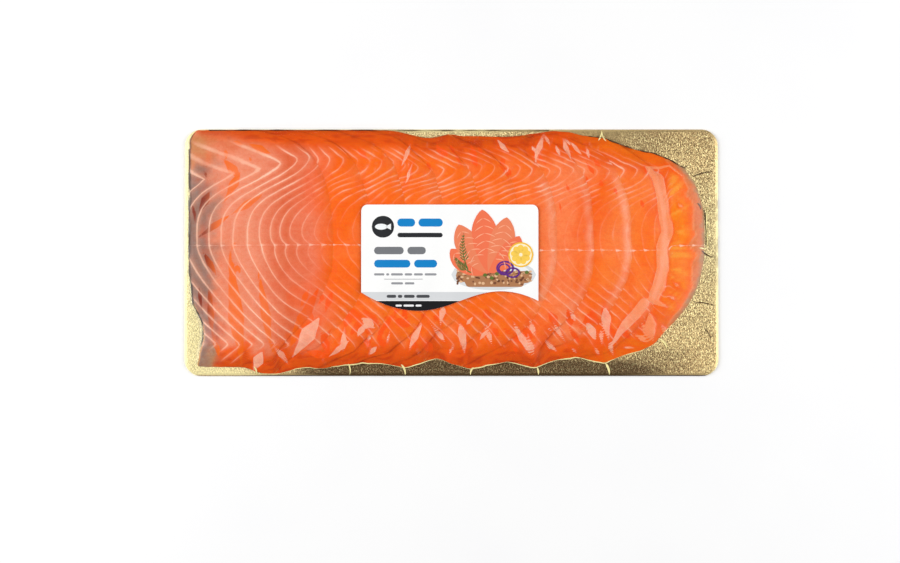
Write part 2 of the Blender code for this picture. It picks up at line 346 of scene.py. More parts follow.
# The lifted patches are raised in the film and also painted pale, as painted reflection.
# Lifted kites: from x, y to x, y, half width, and the share of the length where it is widest, if that
# isn't a half.
POCKETS = (
    (-88, -44, -107.5, -71, 5.4, 0.4), (-72, -51, -73, -67, 2.2, 0.6), (-69, -60, -83, -71, 1.8),
    (-61, -44, -52, -51, 3.4, 0.6), (-63, -57, -57, -47, 2, 0.4), (-56, -70, -50, -63, 1.7),
    (-44, -63, -41, -53, 0.9), (-29, -67, -20, -47, 2.3), (-16, -46, -4, -61, 1.6, 0.7),
    (-5, -36, -8, -50, 2.4, 0.3), (6, -47, 9, -69, 3.1, 0.35), (22, -49, 28, -64, 1.7),
    (41, -46, 54, -70, 2.3), (52, -44, 57, -58, 1.8), (51, -54, 56, -70, 1.4, 0.6),
    (61, -57, 72, -68, 1.5, 0.6), (64, -50.5, 67.5, -53.8, 1), (79, -40, 84, -47.5, 1.8),
    (68, -47, 77, -61, 1.7, 0.4), (81, -64, 85.5, -68.5, 0.8), (91, -46, 97, -60, 2.9),
    (96, -63, 100, -70, 1.1), (100, -50, 101, -64, 1.3, 0.4), (103, -36, 105.6, -60, 3.5, 0.35),
    (105.6, -60, 109, -70, 1.9, 0.4), (133, -40, 136, -60, 3.8, 0.45), (127, -46.5, 135, -61, 1.9),
    (120.5, -53, 134, -62, 1.5, 0.6), (114, -63.6, 124, -64.6, 0.8), (141, -49, 147, -56, 1.7),
    (-34, 56, -27, 74, 1.5, 0.6), (-31, 44, -26, 60, 1.1), (30, 77, 39, 66, 1.8),
    (56, 58, 62, 80, 2.2, 0.6), (63, 80, 67, 71, 1.2), (70, 73, 74, 64, 1.1), (74, 78, 81, 62, 1.6),
    (80, 75, 88, 65, 1.4), (-127, -66.5, -133.5, -80, 3.8, 0.45), (-119, -63, -110, -75, 2.2),
    (153, 33, 155.4, 29.6, 1), (150, -20, 154, -24, 0.9), (147, -29, 150.4, -32.4, 1),
)

# Lifted strips: points of x, y, half width.
LIFTED_STRIPS = (
    (
        (131, 57.5, 0.8), (139, 49.6, 3.9), (141.4, 39.5, 3.5), (143.6, 24.4, 3.8), (145.6, 14, 4),
        (141.6, 3.6, 3.4), (142.2, -11.6, 4.1), (139.6, -24.2, 3.8), (136.6, -30.5, 3.8),
    ),
    ((131, 57.5, 0.7), (140, 57.2, 0.9), (147, 58.6, 0.6), (156, 52, 0.5)),
    ((137, -33, 2.2), (144.4, -36.4, 0.8)),
    ((129.5, -34.5, 3.4), (125, -40, 3.6), (117, -49, 3), (108.5, -60.6, 0.9)),
)

# Kites where the film sticks to the flesh, which looks dark and wet through it.
WET = (
    (-150, 6, -141, -78, 5.6, 0.6), (-130.5, -8, -121, -67, 3.4, 0.6), (-163.5, -20, -161, -59, 2.6),
    (-161, -55, -156, -72, 2), (-168, 1, -158, -16, 2.4), (-88, -22, -110, -66, 4.8, 0.55),
    (-122, -60, -114, -70, 2.6), (-88, -53, -82, -71, 3.2), (-176, 36, -172, 18, 1.2),
    (-171, -22, -168, -42, 1.4, 0.4), (-147, 1, -146, 8, 1.3), (-146, -7, -142, -15, 1.8),
    (-173, 9, -148, 26, 2.4, 0.55), (-148, 25.5, -126, 40, 2.9, 0.45), (-171, 25, -163, 42, 3.1, 0.6),
    (-155, 64, -142, 50, 3.4, 0.6), (-142, 54, -154, 33, 3.4, 0.35), (-153, 70, -151.5, 63, 1.7),
    (-137, 73, -121, 66, 3), (-137, 65, -134, 60, 1.2), (-148, 75, -140, 72, 1.3),
    (-167, 56, -165, 49, 1.1), (-100, -66, -80, -72, 2.6), (98, -42, 88, -48, 4),
)

# Creases over the bare card, painted as highlights and as shade: from x, y to x, y, half width, and the
# share of the length that it bows by.
CREASE_HIGHLIGHTS = (
    (-133, -77, -131.5, -82.6, 0.5, 0.12), (-69.6, -75, -68.6, -82.4, 0.45, 0.1),
    (-34, -75.5, -31.2, -82.6, 0.7, 0.12), (15, -77.5, 12.8, -82.6, 0.6, -0.14),
    (57.6, -77.5, 58.6, -82.6, 0.6, 0.08), (103.6, -74.5, 106.4, -82.6, 0.75, 0.1),
    (139.6, -58, 145.4, -65.4, 0.65, 0.14), (99, 75.5, 101.4, 82.4, 0.5, -0.1),
    (104.5, 75, 101.6, 82.4, 0.5, 0.1), (18, 79, 17, 82.4, 0.35, 0), (167, 3, 172, 1.4, 0.4, 0.1),
    (173, 31, 173.2, 4, 0.42, -0.03),
)
CREASE_SHADES = (
    (163, 51.2, 177, 54.6, 0.42, 0.06), (169, 1.4, 178, -3.4, 0.42, -0.1),
    (164, -34, 177.5, -35.9, 0.36, 0.06), (166, 33.4, 168.4, 29, 0.3, 0.14),
    (170.4, 29, 171.6, 5, 0.36, 0.04), (171, -52, 174.6, -58, 0.26, 0.1),
)

# Small facets where the film sticks or is lifted, and fine wrinkles: how many, x range, y range, direction
# range in degrees, length range and half width range.
STUCK_FACETS = (
    (34, (-68, 128), (-66, -42), (-75, -40), (6, 18), (1.2, 3.4)),
    (14, (-104, -30), (-56, -28), (50, 72), (7, 18), (1.2, 3.2)),
    (16, (-70, 110), (50, 70), (105, 140), (6, 14), (0.9, 2.2)),
    (8, (70, 132), (24, 56), (95, 120), (5, 12), (0.8, 1.8)),
)
LIFTED_FACETS = (
    (5, (-64, 40), (-66, -46), (45, 80), (4, 9), (0.8, 1.4)),
    (4, (40, 110), (62, 75), (-75, -50), (4, 8), (0.7, 1.2)),
)
WRINKLES = (
    (38, (-110, 140), (-72, -42), (-75, -40), (5, 15), (0.4, 1)),
    (26, (-60, 110), (52, 76), (50, 115), (5, 15), (0.4, 1)),
    (16, (-170, -110), (-70, -10), (-85, -55), (5, 15), (0.4, 0.9)),
    (14, (60, 150), (-40, 45), (70, 110), (4, 12), (0.3, 0.7)),
)


def scattered(groups, seed):
    """Kites at random within ranges."""
    dice = np.random.default_rng(seed)
    made = []
    for count, *ranges in groups:
        for _ in range(count):
            x, y, direction, length, half_width = (dice.uniform(*span) for span in ranges)
            reach_x = length * math.cos(math.radians(direction)) / 2
            reach_y = length * math.sin(math.radians(direction)) / 2
            belly = dice.uniform(0.3, 0.7)
            made.append((x - reach_x, y - reach_y, x + reach_x, y + reach_y, half_width, belly))
    return made


WRINKLE_KITES = scattered(WRINKLES, SEED)
STUCK_KITES = scattered(STUCK_FACETS, SEED + 1)
LIFTED_KITES = scattered(LIFTED_FACETS, SEED + 2)


def wavy(x, y):
    """Places moved a little, so that the edges of a fold aren't ruled lines."""
    return x + 0.4 * noise(x, y, 5, 51), y + 0.4 * noise(x, y, 5, 52)


def lifted(x, y):
    """How far inside a lifted patch of film a place is."""
    return inside_any(*wavy(x, y), (*POCKETS, *LIFTED_KITES), LIFTED_STRIPS)


def wetted(x, y):
    """How far inside a patch where the film sticks to the flesh a place is."""
    return inside_any(*wavy(x, y), (*WET, *STUCK_KITES))


def wrinkled(x, y):
    """Height of sharp little ridges, 1 at the crest of the widest."""
    return np.maximum(inside_any(x, y, WRINKLE_KITES), 0)


# --- The pile of slices ---------------------------------------------------------------------------

TABLE_X = np.arange(-195, 195.5, 0.5)
PILE_SOFTNESS = 24
TIP_ROUNDING = 24
SIDE_ROUNDING = 20
TAPER_POWER = 1.7
DRAPE_REACH = 15
DRAPE_LEAST = 0.3
LEAST_EDGE = 0.05
SINK = 0.5
SINK_REACH = 7
FISH_SPREAD = 1.4
HOLD = 0.06
HELD_END = 157
INNER_CORNER = 4
TUCK_LENGTH = 26
TUCK_DEPTH = 5
MOST_SHIFT = 10

# The fish's outline as y at x, and its thick end as x at y.
UPPER_EDGE = (
    (-180, 82.9), (-60, 82.7), (-38, 82.4), (-20, 77.4), (-12, 77), (-1, 80.3), (6, 79), (40, 78),
    (55, 80.6), (68, 82.2), (78, 81.6), (88, 79), (104, 77), (116, 72), (126, 69), (137, 67.2),
    (147.5, 62.6), (158, 56.4),
)
LOWER_EDGE = (
    (-180, -75), (-170, -77), (-138, -77.4), (-131, -81), (-116, -82), (-106, -78.6), (-96, -77),
    (-88, -78.6), (-78, -76.6), (-60, -74.4), (-48, -74.6), (-31, -77.6), (-22, -75), (-9, -70.8), (0, -75),
    (13, -78.6), (24, -76), (38, -73.2), (46, -75.6), (56, -78.2), (68, -73), (84, -70.4), (94, -72.6),
    (103, -74.8), (115, -69.6), (126, -66.8), (137, -62.6), (147.5, -51), (158, -40),
)
THICK_EDGE = (
    (-79, -173), (-74, -172), (-67, -170), (-60, -168), (-55, -167.4), (-47, -168), (-41, -171),
    (-35, -174.4), (-22, -175.5), (-13, -177), (82, -177),
)

UPPER_LINE, LOWER_LINE = (blur(np.interp(TABLE_X, *zip(*edge)), 4) for edge in (UPPER_EDGE, LOWER_EDGE))


def upper_line(x):
    return np.interp(x, TABLE_X, UPPER_LINE) + 0.25 * noise(x, 0 * x, 4, 23)


def lower_line(x):
    return np.interp(x, TABLE_X, LOWER_LINE) + 0.25 * noise(x, 0 * x, 4, 24)


def full_share(number):
    return np.clip((TABLE_X - START[number]) / PITCH, 0, 1)


def layer_profile(number):
    """How much a slice lifts what lies on it, along the pack."""
    climbed = np.clip((TABLE_X - START[number]) / CLIMB + 1, 0, 1)
    return climbed * (FEATHER + GAP) + (FULL - FEATHER) * full_share(number)


UNDERSIDES = []
THICKNESSES = []
for number in range(COUNT):
    stacked = sum((layer_profile(under) for under in range(number + 1, COUNT)), np.zeros_like(TABLE_X))
    UNDERSIDES.append(blur(stacked, PILE_SOFTNESS))
    THICKNESSES.append(blur(FEATHER + (FULL - FEATHER) * full_share(number), PILE_SOFTNESS))


def tucked(number, y):
    """How far an inner slice's long lower corner has drawn back under the slice above, from 0 to 1."""
    past = np.clip((-y - (LOWER_REACH[number] - TUCK_DEPTH)) / TUCK_DEPTH, 0, 1)
    return 1 - np.sqrt(1 - past**2)


def straight_end(number, y):
    """X of a slice's straight end, which leans towards the lower corner and is rounded at both."""
    if number == 0:
        edge = np.interp(y, *zip(*THICK_EDGE)) + 0.4 * noise(0 * y, y, 5, 21)
        corners = (CORNER, INNER_CORNER)
    else:
        drop = np.clip((LEAN_START - y) / (LOWER_REACH[number] + LEAN_START), 0, 1)
        edge = START[number] + LEAN * drop**1.3 + TUCK_LENGTH * tucked(number, y)
        corners = (INNER_CORNER, 0)
    for reach, side, corner in zip((UPPER_REACH[number], LOWER_REACH[number]), (y, -y), corners):
        past = np.clip(side - (reach - corner), 0, corner)
        edge = edge + corner - np.sqrt(corner**2 - past**2)
    return edge


def round_end(number, y):
    """X of a slice's round tip at a place across it."""
    upper = 1 - np.clip(y / UPPER_REACH[number], 0, 1) ** UPPER_ROUNDNESS
    lower = 1 - np.clip(-y / LOWER_REACH[number], 0, 1) ** LOWER_ROUNDNESS
    along = np.where(y > 0, upper ** (1 / UPPER_ROUNDNESS), lower ** (1 / LOWER_ROUNDNESS))
    ragged = 0.5 * noise(y, 0 * y, 1.7, 25) + 0.5 * noise(y, 0 * y, 5, 26) if number == COUNT - 1 else 0
    return START[number] + LENGTH * along + ragged * ease(56, 44, np.abs(y))


def curve_inset(number, x, y):
    """Distance inward from a slice's curved outline, and how squarely that outline faces the tail."""
    along = np.clip((x - START[number]) / LENGTH, 1e-3, None)
    reach = np.where(y > 0, UPPER_REACH[number], LOWER_REACH[number])
    roundness = np.where(y > 0, UPPER_ROUNDNESS, LOWER_ROUNDNESS)
    across = np.clip(np.abs(y) / reach, 1e-3, None)
    radial = (along**roundness + across**roundness) ** (1 / roundness)
    slope_x = (along / radial) ** (roundness - 1) / LENGTH
    slope_y = (across / radial) ** (roundness - 1) / reach
    steepness = np.hypot(slope_x, slope_y)
    return (1 - radial) / steepness, slope_x / steepness


def slice_inset(number, x, y):
    """Distance inward from the whole outline of a slice."""
    flat = x - straight_end(number, y)
    if number > 0:
        flat = flat * (1 - 0.75 * ease(0, 0.15, tucked(number, y)))
    return np.minimum(curve_inset(number, x, y)[0], flat)


def even_edge(reaches, roundness, tuck_depth):
    """How far the slices reach to one side, before the outline is drawn in or out."""
    edge = np.zeros_like(TABLE_X)
    for start, reach in zip(START, reaches):
        along = np.clip((TABLE_X - start) / LENGTH, 0, 1)
        side = reach * (1 - along**roundness) ** (1 / roundness)
        if tuck_depth and start > START[0]:
            short = 1 - np.clip((TABLE_X - start - LEAN) / TUCK_LENGTH, 0, 1)
            side = np.minimum(side, reach - tuck_depth * (1 - np.sqrt(1 - short**2)))
            side = np.where(TABLE_X < start + LEAN, 0, side)
        edge = np.where(TABLE_X >= start, np.maximum(edge, side), edge)
    return edge


def edge_shift(outline, even):
    inner = ease(START[0], START[0] + 6, TABLE_X) * ease(158, 146, TABLE_X)
    return blur(np.clip(outline - even, -MOST_SHIFT, MOST_SHIFT) * inner, 2)


UPPER_SHIFT = FISH_SPREAD + edge_shift(UPPER_LINE, even_edge(UPPER_REACH, UPPER_ROUNDNESS, 0))
LOWER_SHIFT = edge_shift(LOWER_LINE, -even_edge(LOWER_REACH, LOWER_ROUNDNESS, TUCK_DEPTH)) - FISH_SPREAD


def edge_pull(x, y):
    """How far a place of the even pile moves across, so that the outline is the fish's own."""
    upper = np.interp(x, TABLE_X, UPPER_SHIFT) * ease(30, 68, y)
    return upper + np.interp(x, TABLE_X, LOWER_SHIFT) * ease(-30, -66, y)


def held(x, y):
    """A place across the fish, held within its outline, which the slices' ends would else break."""
    upper = upper_line(x)
    lower = lower_line(x)
    y = np.where((y > upper) & (x < HELD_END), upper + HOLD * (y - upper), y)
    return np.where((y < lower) & (x < HELD_END), lower + HOLD * (y - lower), y)


def fish_inset(x, y):
    """Distance inward from the outline of all the slices together."""
    return np.max([slice_inset(number, x, y) for number in range(COUNT)], axis=0)


def slice_surfaces(number, x, y):
    """Lower and upper height of a slice. The pile is pressed flat towards the fish's outline."""
    press = DRAPE_LEAST + (1 - DRAPE_LEAST) * rounded_rise(fish_inset(x, y) / DRAPE_REACH)
    press = press * (1 + 0.035 * noise(x, y, 34, 61))
    low = np.interp(x, TABLE_X, UNDERSIDES[number])
    thick = np.interp(x, TABLE_X, THICKNESSES[number])
    inset, facing = curve_inset(number, x, y)
    rounding = SIDE_ROUNDING + (TIP_ROUNDING - SIDE_ROUNDING) * facing
    taper = 1 - (1 - np.clip(inset / rounding, 0, 1)) ** TAPER_POWER
    thick = LEAST_EDGE + (thick - LEAST_EDGE) * taper
    relief = 0.10 * noise(x, y, 9, 70 + number) + 0.05 * noise(x, y, 3.5, 90 + number)
    low = BASE + low * press - SINK * ease(SINK_REACH, 0, inset)
    return low, low + thick * press + relief * ease(0.5, 4, inset)


# --- Muscle bands ---------------------------------------------------------------------------------

# Bands passed at a place on the midline, which are 8.6 mm apart but for the first few.
BANDS_PASSED = ((-260, -19.8), (-147.5, -6), (-118.5, -3), (-94, 0), (180, 31.9))
# At an x: how far the upper arm of a band sweeps, and y of its apex.
UPPER_SWEEP = (
    (-180, 27), (-168, 31), (-148, 41), (-131, 49), (-118, 53), (-106, 55), (-98, 54), (-84, 50), (-60, 47.5),
)
UPPER_APEX = (
    (-180, 46.5), (-168, 49), (-150, 52.5), (-131, 55.5), (-119, 58.5), (-107, 61.5), (-98, 63.7),
    (-60, 63.7), (-43, 61), (-16, 57.5), (60, 56.5),
)
LOWER_SWEEP = 75
LOWER_APEX = -64
MIDLINE = 4.7
MIDLINE_FALL = 3.6
BAND_SHIFT_X = 1.6
BAND_SHIFT_Y = 1.3


def midline(x):
    """Y of the line between the back and the belly half of the fish."""
    return MIDLINE - MIDLINE_FALL * ease(TIP[0], 60, x) + MIDLINE_FALL * ease(145, 149, x)


def hollow(depth, deepest):
    """A soft bow that is 1 at its deepest."""
    return (depth / deepest) * np.exp(1 - depth / deepest)


def upper_rise(x, depth):
    """How far a band has swept towards the tail at a distance above the midline."""
    power = np.interp(x, (-100, -20, 20, 90), (3.8, 6.8, 6.8, 5.2))
    reach = np.interp(x, (-100, 0, 100), (42.6, 42.7, 41.5))
    rise = np.interp(x, *zip(*UPPER_SWEEP)) * (1 - np.exp(-((depth / reach) ** power)))
    return rise - np.interp(x, (-136, -108, -70, -40), (0, 7, 7, 1.5)) * hollow(depth, 10)


def upper_sweep(x, y):
    """As `upper_rise`, with the turn back towards the thick end past the apex."""
    middle = midline(x)
    apex = np.interp(x, *zip(*UPPER_APEX))
    crest = upper_rise(x, apex - middle)
    back = np.interp(x, (-150, -120, -95, -60), (0.76, 0.74, 1.15, 2.2))
    turn = np.interp(x, (-140, -90), (1.2, 3))
    return smooth_least(upper_rise(x, np.maximum(y - middle, 0)), crest - back * (y - apex), turn)


def lower_sweep(x, y):
    depth = np.maximum(midline(x) - y, 0)
    thick_end = 0.126 * depth**1.445
    tail_end = LOWER_SWEEP * (1 - np.exp(-((depth / 50) ** 1.9)))
    share = ease(-120, -80, x)
    bow = 3.5 * ease(-130, -108, x) * (1 - ease(-85, -60, x)) * hollow(depth, 9)
    rise = thick_end + (tail_end - thick_end) * share - bow
    return smooth_least(rise, 52 + 12 * share - 1.2 * (LOWER_APEX - y), 3)


def band_count(x, y):
    """Number of bands passed from the thick end: a white line runs where this is whole."""
    crossing = x - np.where(y > midline(x), upper_sweep(x, y), lower_sweep(x, y))
    return np.interp(crossing, *zip(*BANDS_PASSED))


def slice_bands(number, x, y):
    """Band count, and how fast it changes per mm. Each slice but the first is a little out of line."""
    dice = np.random.default_rng(200 + number)
    loose = min(number, 1)
    shift_x = loose * dice.uniform(-BAND_SHIFT_X, BAND_SHIFT_X)
    shift_y = loose * dice.uniform(-BAND_SHIFT_Y, BAND_SHIFT_Y)
    ripple = 0.4 + 0.6 * ease(-110, -60, x)
    moved_x = x + shift_x + ripple * (1.3 * noise(x, y, 24, 31) + 0.35 * noise(x, y, 4, 32))
    moved_y = y + shift_y + ripple * (1.1 * noise(x, y, 20, 33) + 0.30 * noise(x, y, 4, 34))
    step = 0.2
    here = band_count(moved_x, moved_y)
    change_x = (band_count(moved_x + step, moved_y) - here) / step
    change_y = (band_count(moved_x, moved_y + step) - here) / step
    return here, np.clip(np.hypot(change_x, change_y), 0.02, 3)


def line_width(x, y):
    """Width of the white lines: broad and soft past the apex of the first bands."""
    broad = 2 * ease(48, 58, y) * ease(-104, -136, x) + 0.05 + 0.2 * ease(-120, -150, x)
    return (1 + broad) * (1 + 0.35 * noise(x, y, 9, 46))


def line_strength(x, y, rim):
    """How clearly the white lines show: crisp at the thick end, faint along the middle of the rest."""
    edges = np.maximum(0.5 * ease(26, 42, y), 0.42 * ease(-16, -28, y))
    rest = np.maximum(0.12, edges) * (0.8 + 0.9 * noise(x, y, 6, 47)) * ease(6, 15, rim)
    near_end = 0.98 - 0.12 * ease(49, 60, y) * ease(-104, -136, x)
    near_end = near_end * (0.86 + 0.3 * noise(x, y, 26, 50))
    strength = near_end + (rest - near_end) * ease(-112, -90, x)
    lower_fade = ease(-60, -66.5, y) * (1 - 0.8 * ease(9, 4, np.abs(x + 148)))
    upper_fade = ease(66, 73, y - 4 * ease(-112, -136, x))
    strength = strength * (1 - upper_fade) * (1 - lower_fade) * ease(-76, -70, y)
    strength = strength * (1 - 0.9 * ease(146, 150, x))
    return np.clip(strength * (0.85 + 0.25 * noise(x, y, 12, 41)), 0, 1)


# --- Flesh of the salmon --------------------------------------------------------------------------

VEIL = 0.022


def flesh(red, green, blue):
    """A colour of flesh as it looks through the film, which adds a little light of its own to it."""
    return np.clip(linear(red, green, blue) - VEIL, 0.002, 0.97)


# Painted reflection in the film over the thick end, in the next four colours.
END_REFLECTION = flesh(150, 118, 107)
UPPER_END_REFLECTION = flesh(204, 132, 84)
CORNER_REFLECTION = flesh(196, 150, 104)
TOP_REFLECTION = flesh(226, 128, 92)
PINK = flesh(236, 138, 106)
RUSSET = flesh(225, 106, 70)
ROSE = flesh(242, 127, 94)
DEEP = flesh(250, 96, 18)
FLESH = flesh(255, 114, 46)
SOFT = flesh(254, 130, 80)
RICH = flesh(252, 108, 42)
TAIL = flesh(255, 126, 60)
TAIL_END = flesh(255, 134, 0)
TAIL_DEEP = flesh(255, 102, 0)
TAIL_PALE = flesh(255, 164, 70)
MARGIN = flesh(242, 98, 0)
EDGE = flesh(226, 90, 0)
EDGE_SHADE = flesh(196, 66, 0)
WARM_EDGE = flesh(250, 116, 0)
# Painted highlight along the film's edge at the fish's outline.
EDGE_HIGHLIGHT = linear(236, 164, 84)
LINE = linear(255, 202, 174)
LINE_GLOW = linear(255, 156, 118)
MIDDLE_LINE = linear(255, 208, 184)
# Painted reflection, in lifted film and along the slices' tips.
PALE_REFLECTION = flesh(255, 180, 150)
WET_FLESH = flesh(242, 112, 26)
WET_BRIGHT = flesh(255, 92, 0)
WET_EDGE = flesh(140, 58, 20)
# Painted shade along the fish's edge at the thick end.
RIM_SHADE = flesh(84, 56, 40)
RIM_FLESH = flesh(224, 120, 68)
# Painted reflection along the tail's outline.
RIM_REFLECTION = flesh(176, 142, 108)
RIM_LIGHT = flesh(255, 160, 112)
# Painted reflection in lifted film over the tail.
PALE_TAIL_REFLECTION = flesh(255, 148, 94)

# Flesh along the fish, from the thick end to the tail.
FLESH_ALONG = (
    (-180, PINK), (-134, PINK), (-112, RUSSET), (-95, ROSE), (-78, RICH), (-56, FLESH), (36, FLESH),
    (66, SOFT), (78, SOFT), (90, RICH), (104, TAIL), (124, TAIL), (134, FLESH), (146, TAIL_END),
    (180, TAIL_END),
)

# The inner edge of the pale rim at the tail, as x at y.
TAIL_RIM = (
    (-60, 140), (-46, 147.5), (-37, 154.4), (-30, 159.5), (-23, 162.6), (-15, 162), (-6.6, 162.6),
    (-1.5, 165.8), (4.9, 159.5), (11.7, 165.2), (16, 163.3), (34, 163.3), (39, 157.6), (43, 160.1),
    (51.5, 157), (55, 153), (59, 147), (70, 140),
)


def bell(distance, width):
    """A soft bump, 1 in the middle."""
    return np.exp(-((distance / width) ** 2))


def tail_streaks(x, y):
    """Fine pale streaks that fan out over the tail."""
    turn = np.degrees(np.arctan2(y - 1, x - 104))
    spread = noise(turn, 0.06 * x, 2.4, 58) + 0.5 * noise(turn, 0.05 * x, 1.1, 59)
    return ease(0.05, 0.7, spread) * ease(144, 150, x)


def slice_tone(number, x, y, even_y, rim):
    """Colour of the flesh between the lines, with painted reflection, highlight and shade. `rim` is the
    distance in from the fish's outline.
    """
    moved = x + 5 * noise(x, y, 20, 42) + 2 * noise(x, y, 6, 43) - 0.004 * y**2 * ease(-60, -20, x)
    places, colours = zip(*FLESH_ALONG)
    tone = np.stack([np.interp(moved, places, channel) for channel in zip(*colours)], -1)
    inset, facing = curve_inset(number, x, even_y)
    # Painted highlight where the slices' tips slope down under the film.
    tip = bell(inset - 3.6, 2.6) * facing**3 * ease(40, 66, x) * (0.7 + 0.5 * noise(x, y, 5, 56))
    ragged = rim + 2.6 * noise(x, 3 * y, 22, 44)
    side = ease(-176, -164, x) * ease(152, 138, x)
    inner = 17 + 4 * ease(0, 30, y) * ease(-40, 0, x)
    wide = 3.4 * ease(-142, -130, x) * ease(-64, -78, x) * ease(-60, -66, y)
    warm = ease(70, 110, x)
    # Streaks of painted shade along the margins.
    furrow_shade = ease(0.05, 0.6, noise(0.25 * x, rim + 0.02 * x, 1.5, 60))
    # The next five lines mask painted reflection in the film over the thick end.
    cloud = noise(x, y, 12, 45) + 0.6 * noise(x, y, 4, 53)
    painted_reflection = ease(-149, -170, x + 7 * ease(25, 50, y) + 6 * cloud)
    corner = ease(-155, -160, x + 3 * cloud) * ease(-56, -68, y + 4 * cloud)
    streak = bell(y - 73 + 0.05 * (x + 150) - 1.6 * cloud, 3.6 + 3.2 * ease(-134, -158, x))
    upper = ease(52, 64, y + 5 * cloud) * ease(82, 76, y)
    past = x - np.interp(y, *zip(*TAIL_RIM)) - 0.5 * noise(x, y, 2.5, 54)
    end = ease(-172, -175, x)
    layers = (
        (SOFT, 0.35 * ease(0.1, 0.7, noise(x, y, 13, 48)) * ease(-90, -60, x)),
        (DEEP, 0.35 * ease(0.1, 0.7, noise(x, y, 15, 49)) * ease(-130, -100, x)),
        # Painted highlight along the slices' tips.
        (PALE_REFLECTION, 0.38 * tip * ease(-54, -34, y) * ease(62, 44, y)),
        (MARGIN, side * ease(inner, inner - 8, ragged)),
        (EDGE, 0.95 * side * ease(10, 4, ragged - wide)),
        (WARM_EDGE, 0.85 * side * ease(14, 8, rim) * warm),
        # Painted shade in streaks along the margins.
        (EDGE_SHADE, 0.5 * side * furrow_shade * ease(14, 7, rim) * (1 - 0.8 * warm)),
        (TAIL_PALE, 0.75 * (number == COUNT - 1) * tail_streaks(x, y)),
        # Painted reflection in the film over the thick end, in the next four layers.
        (CORNER_REFLECTION, 0.8 * corner),
        (TOP_REFLECTION, 0.8 * ease(-112, -146, x + 14 * cloud) * streak),
        (END_REFLECTION, 0.95 * painted_reflection * ease(64, 52, y + 5 * cloud)),
        (UPPER_END_REFLECTION, 0.85 * painted_reflection * upper),
        (TAIL_DEEP, 0.7 * ease(-8, -1, past) * ease(144, 150, x)),
        (RIM_FLESH, 0.9 * ease(-0.4, 0.5, past)),
        (RIM_LIGHT, 0.5 * bell(past - 0.2, math.sqrt(0.3)) * ease(140, 150, x)),
        # Painted reflection along the tail's outline.
        (RIM_REFLECTION, 0.8 * ease(4.5, 1, rim + 1.6 * noise(x, y, 3, 55)) * ease(146, 156, x)),
        # Painted shade along the fish's edge at the thick end.
        (RIM_SHADE, 0.8 * end * ease(1.6, 0.5, rim)),
        # Painted highlight along the film's edge at the outline.
        (EDGE_HIGHLIGHT, 0.6 * (1 - end) * ease(1.3, 0.3, rim) * ease(160, 140, x)),
    )
    for colour, share in layers:
        share = np.clip(share, 0, 1)[..., None]
        tone = tone * (1 - share) + colour * share
    return np.insert(tone, 3, 1, axis=-1)


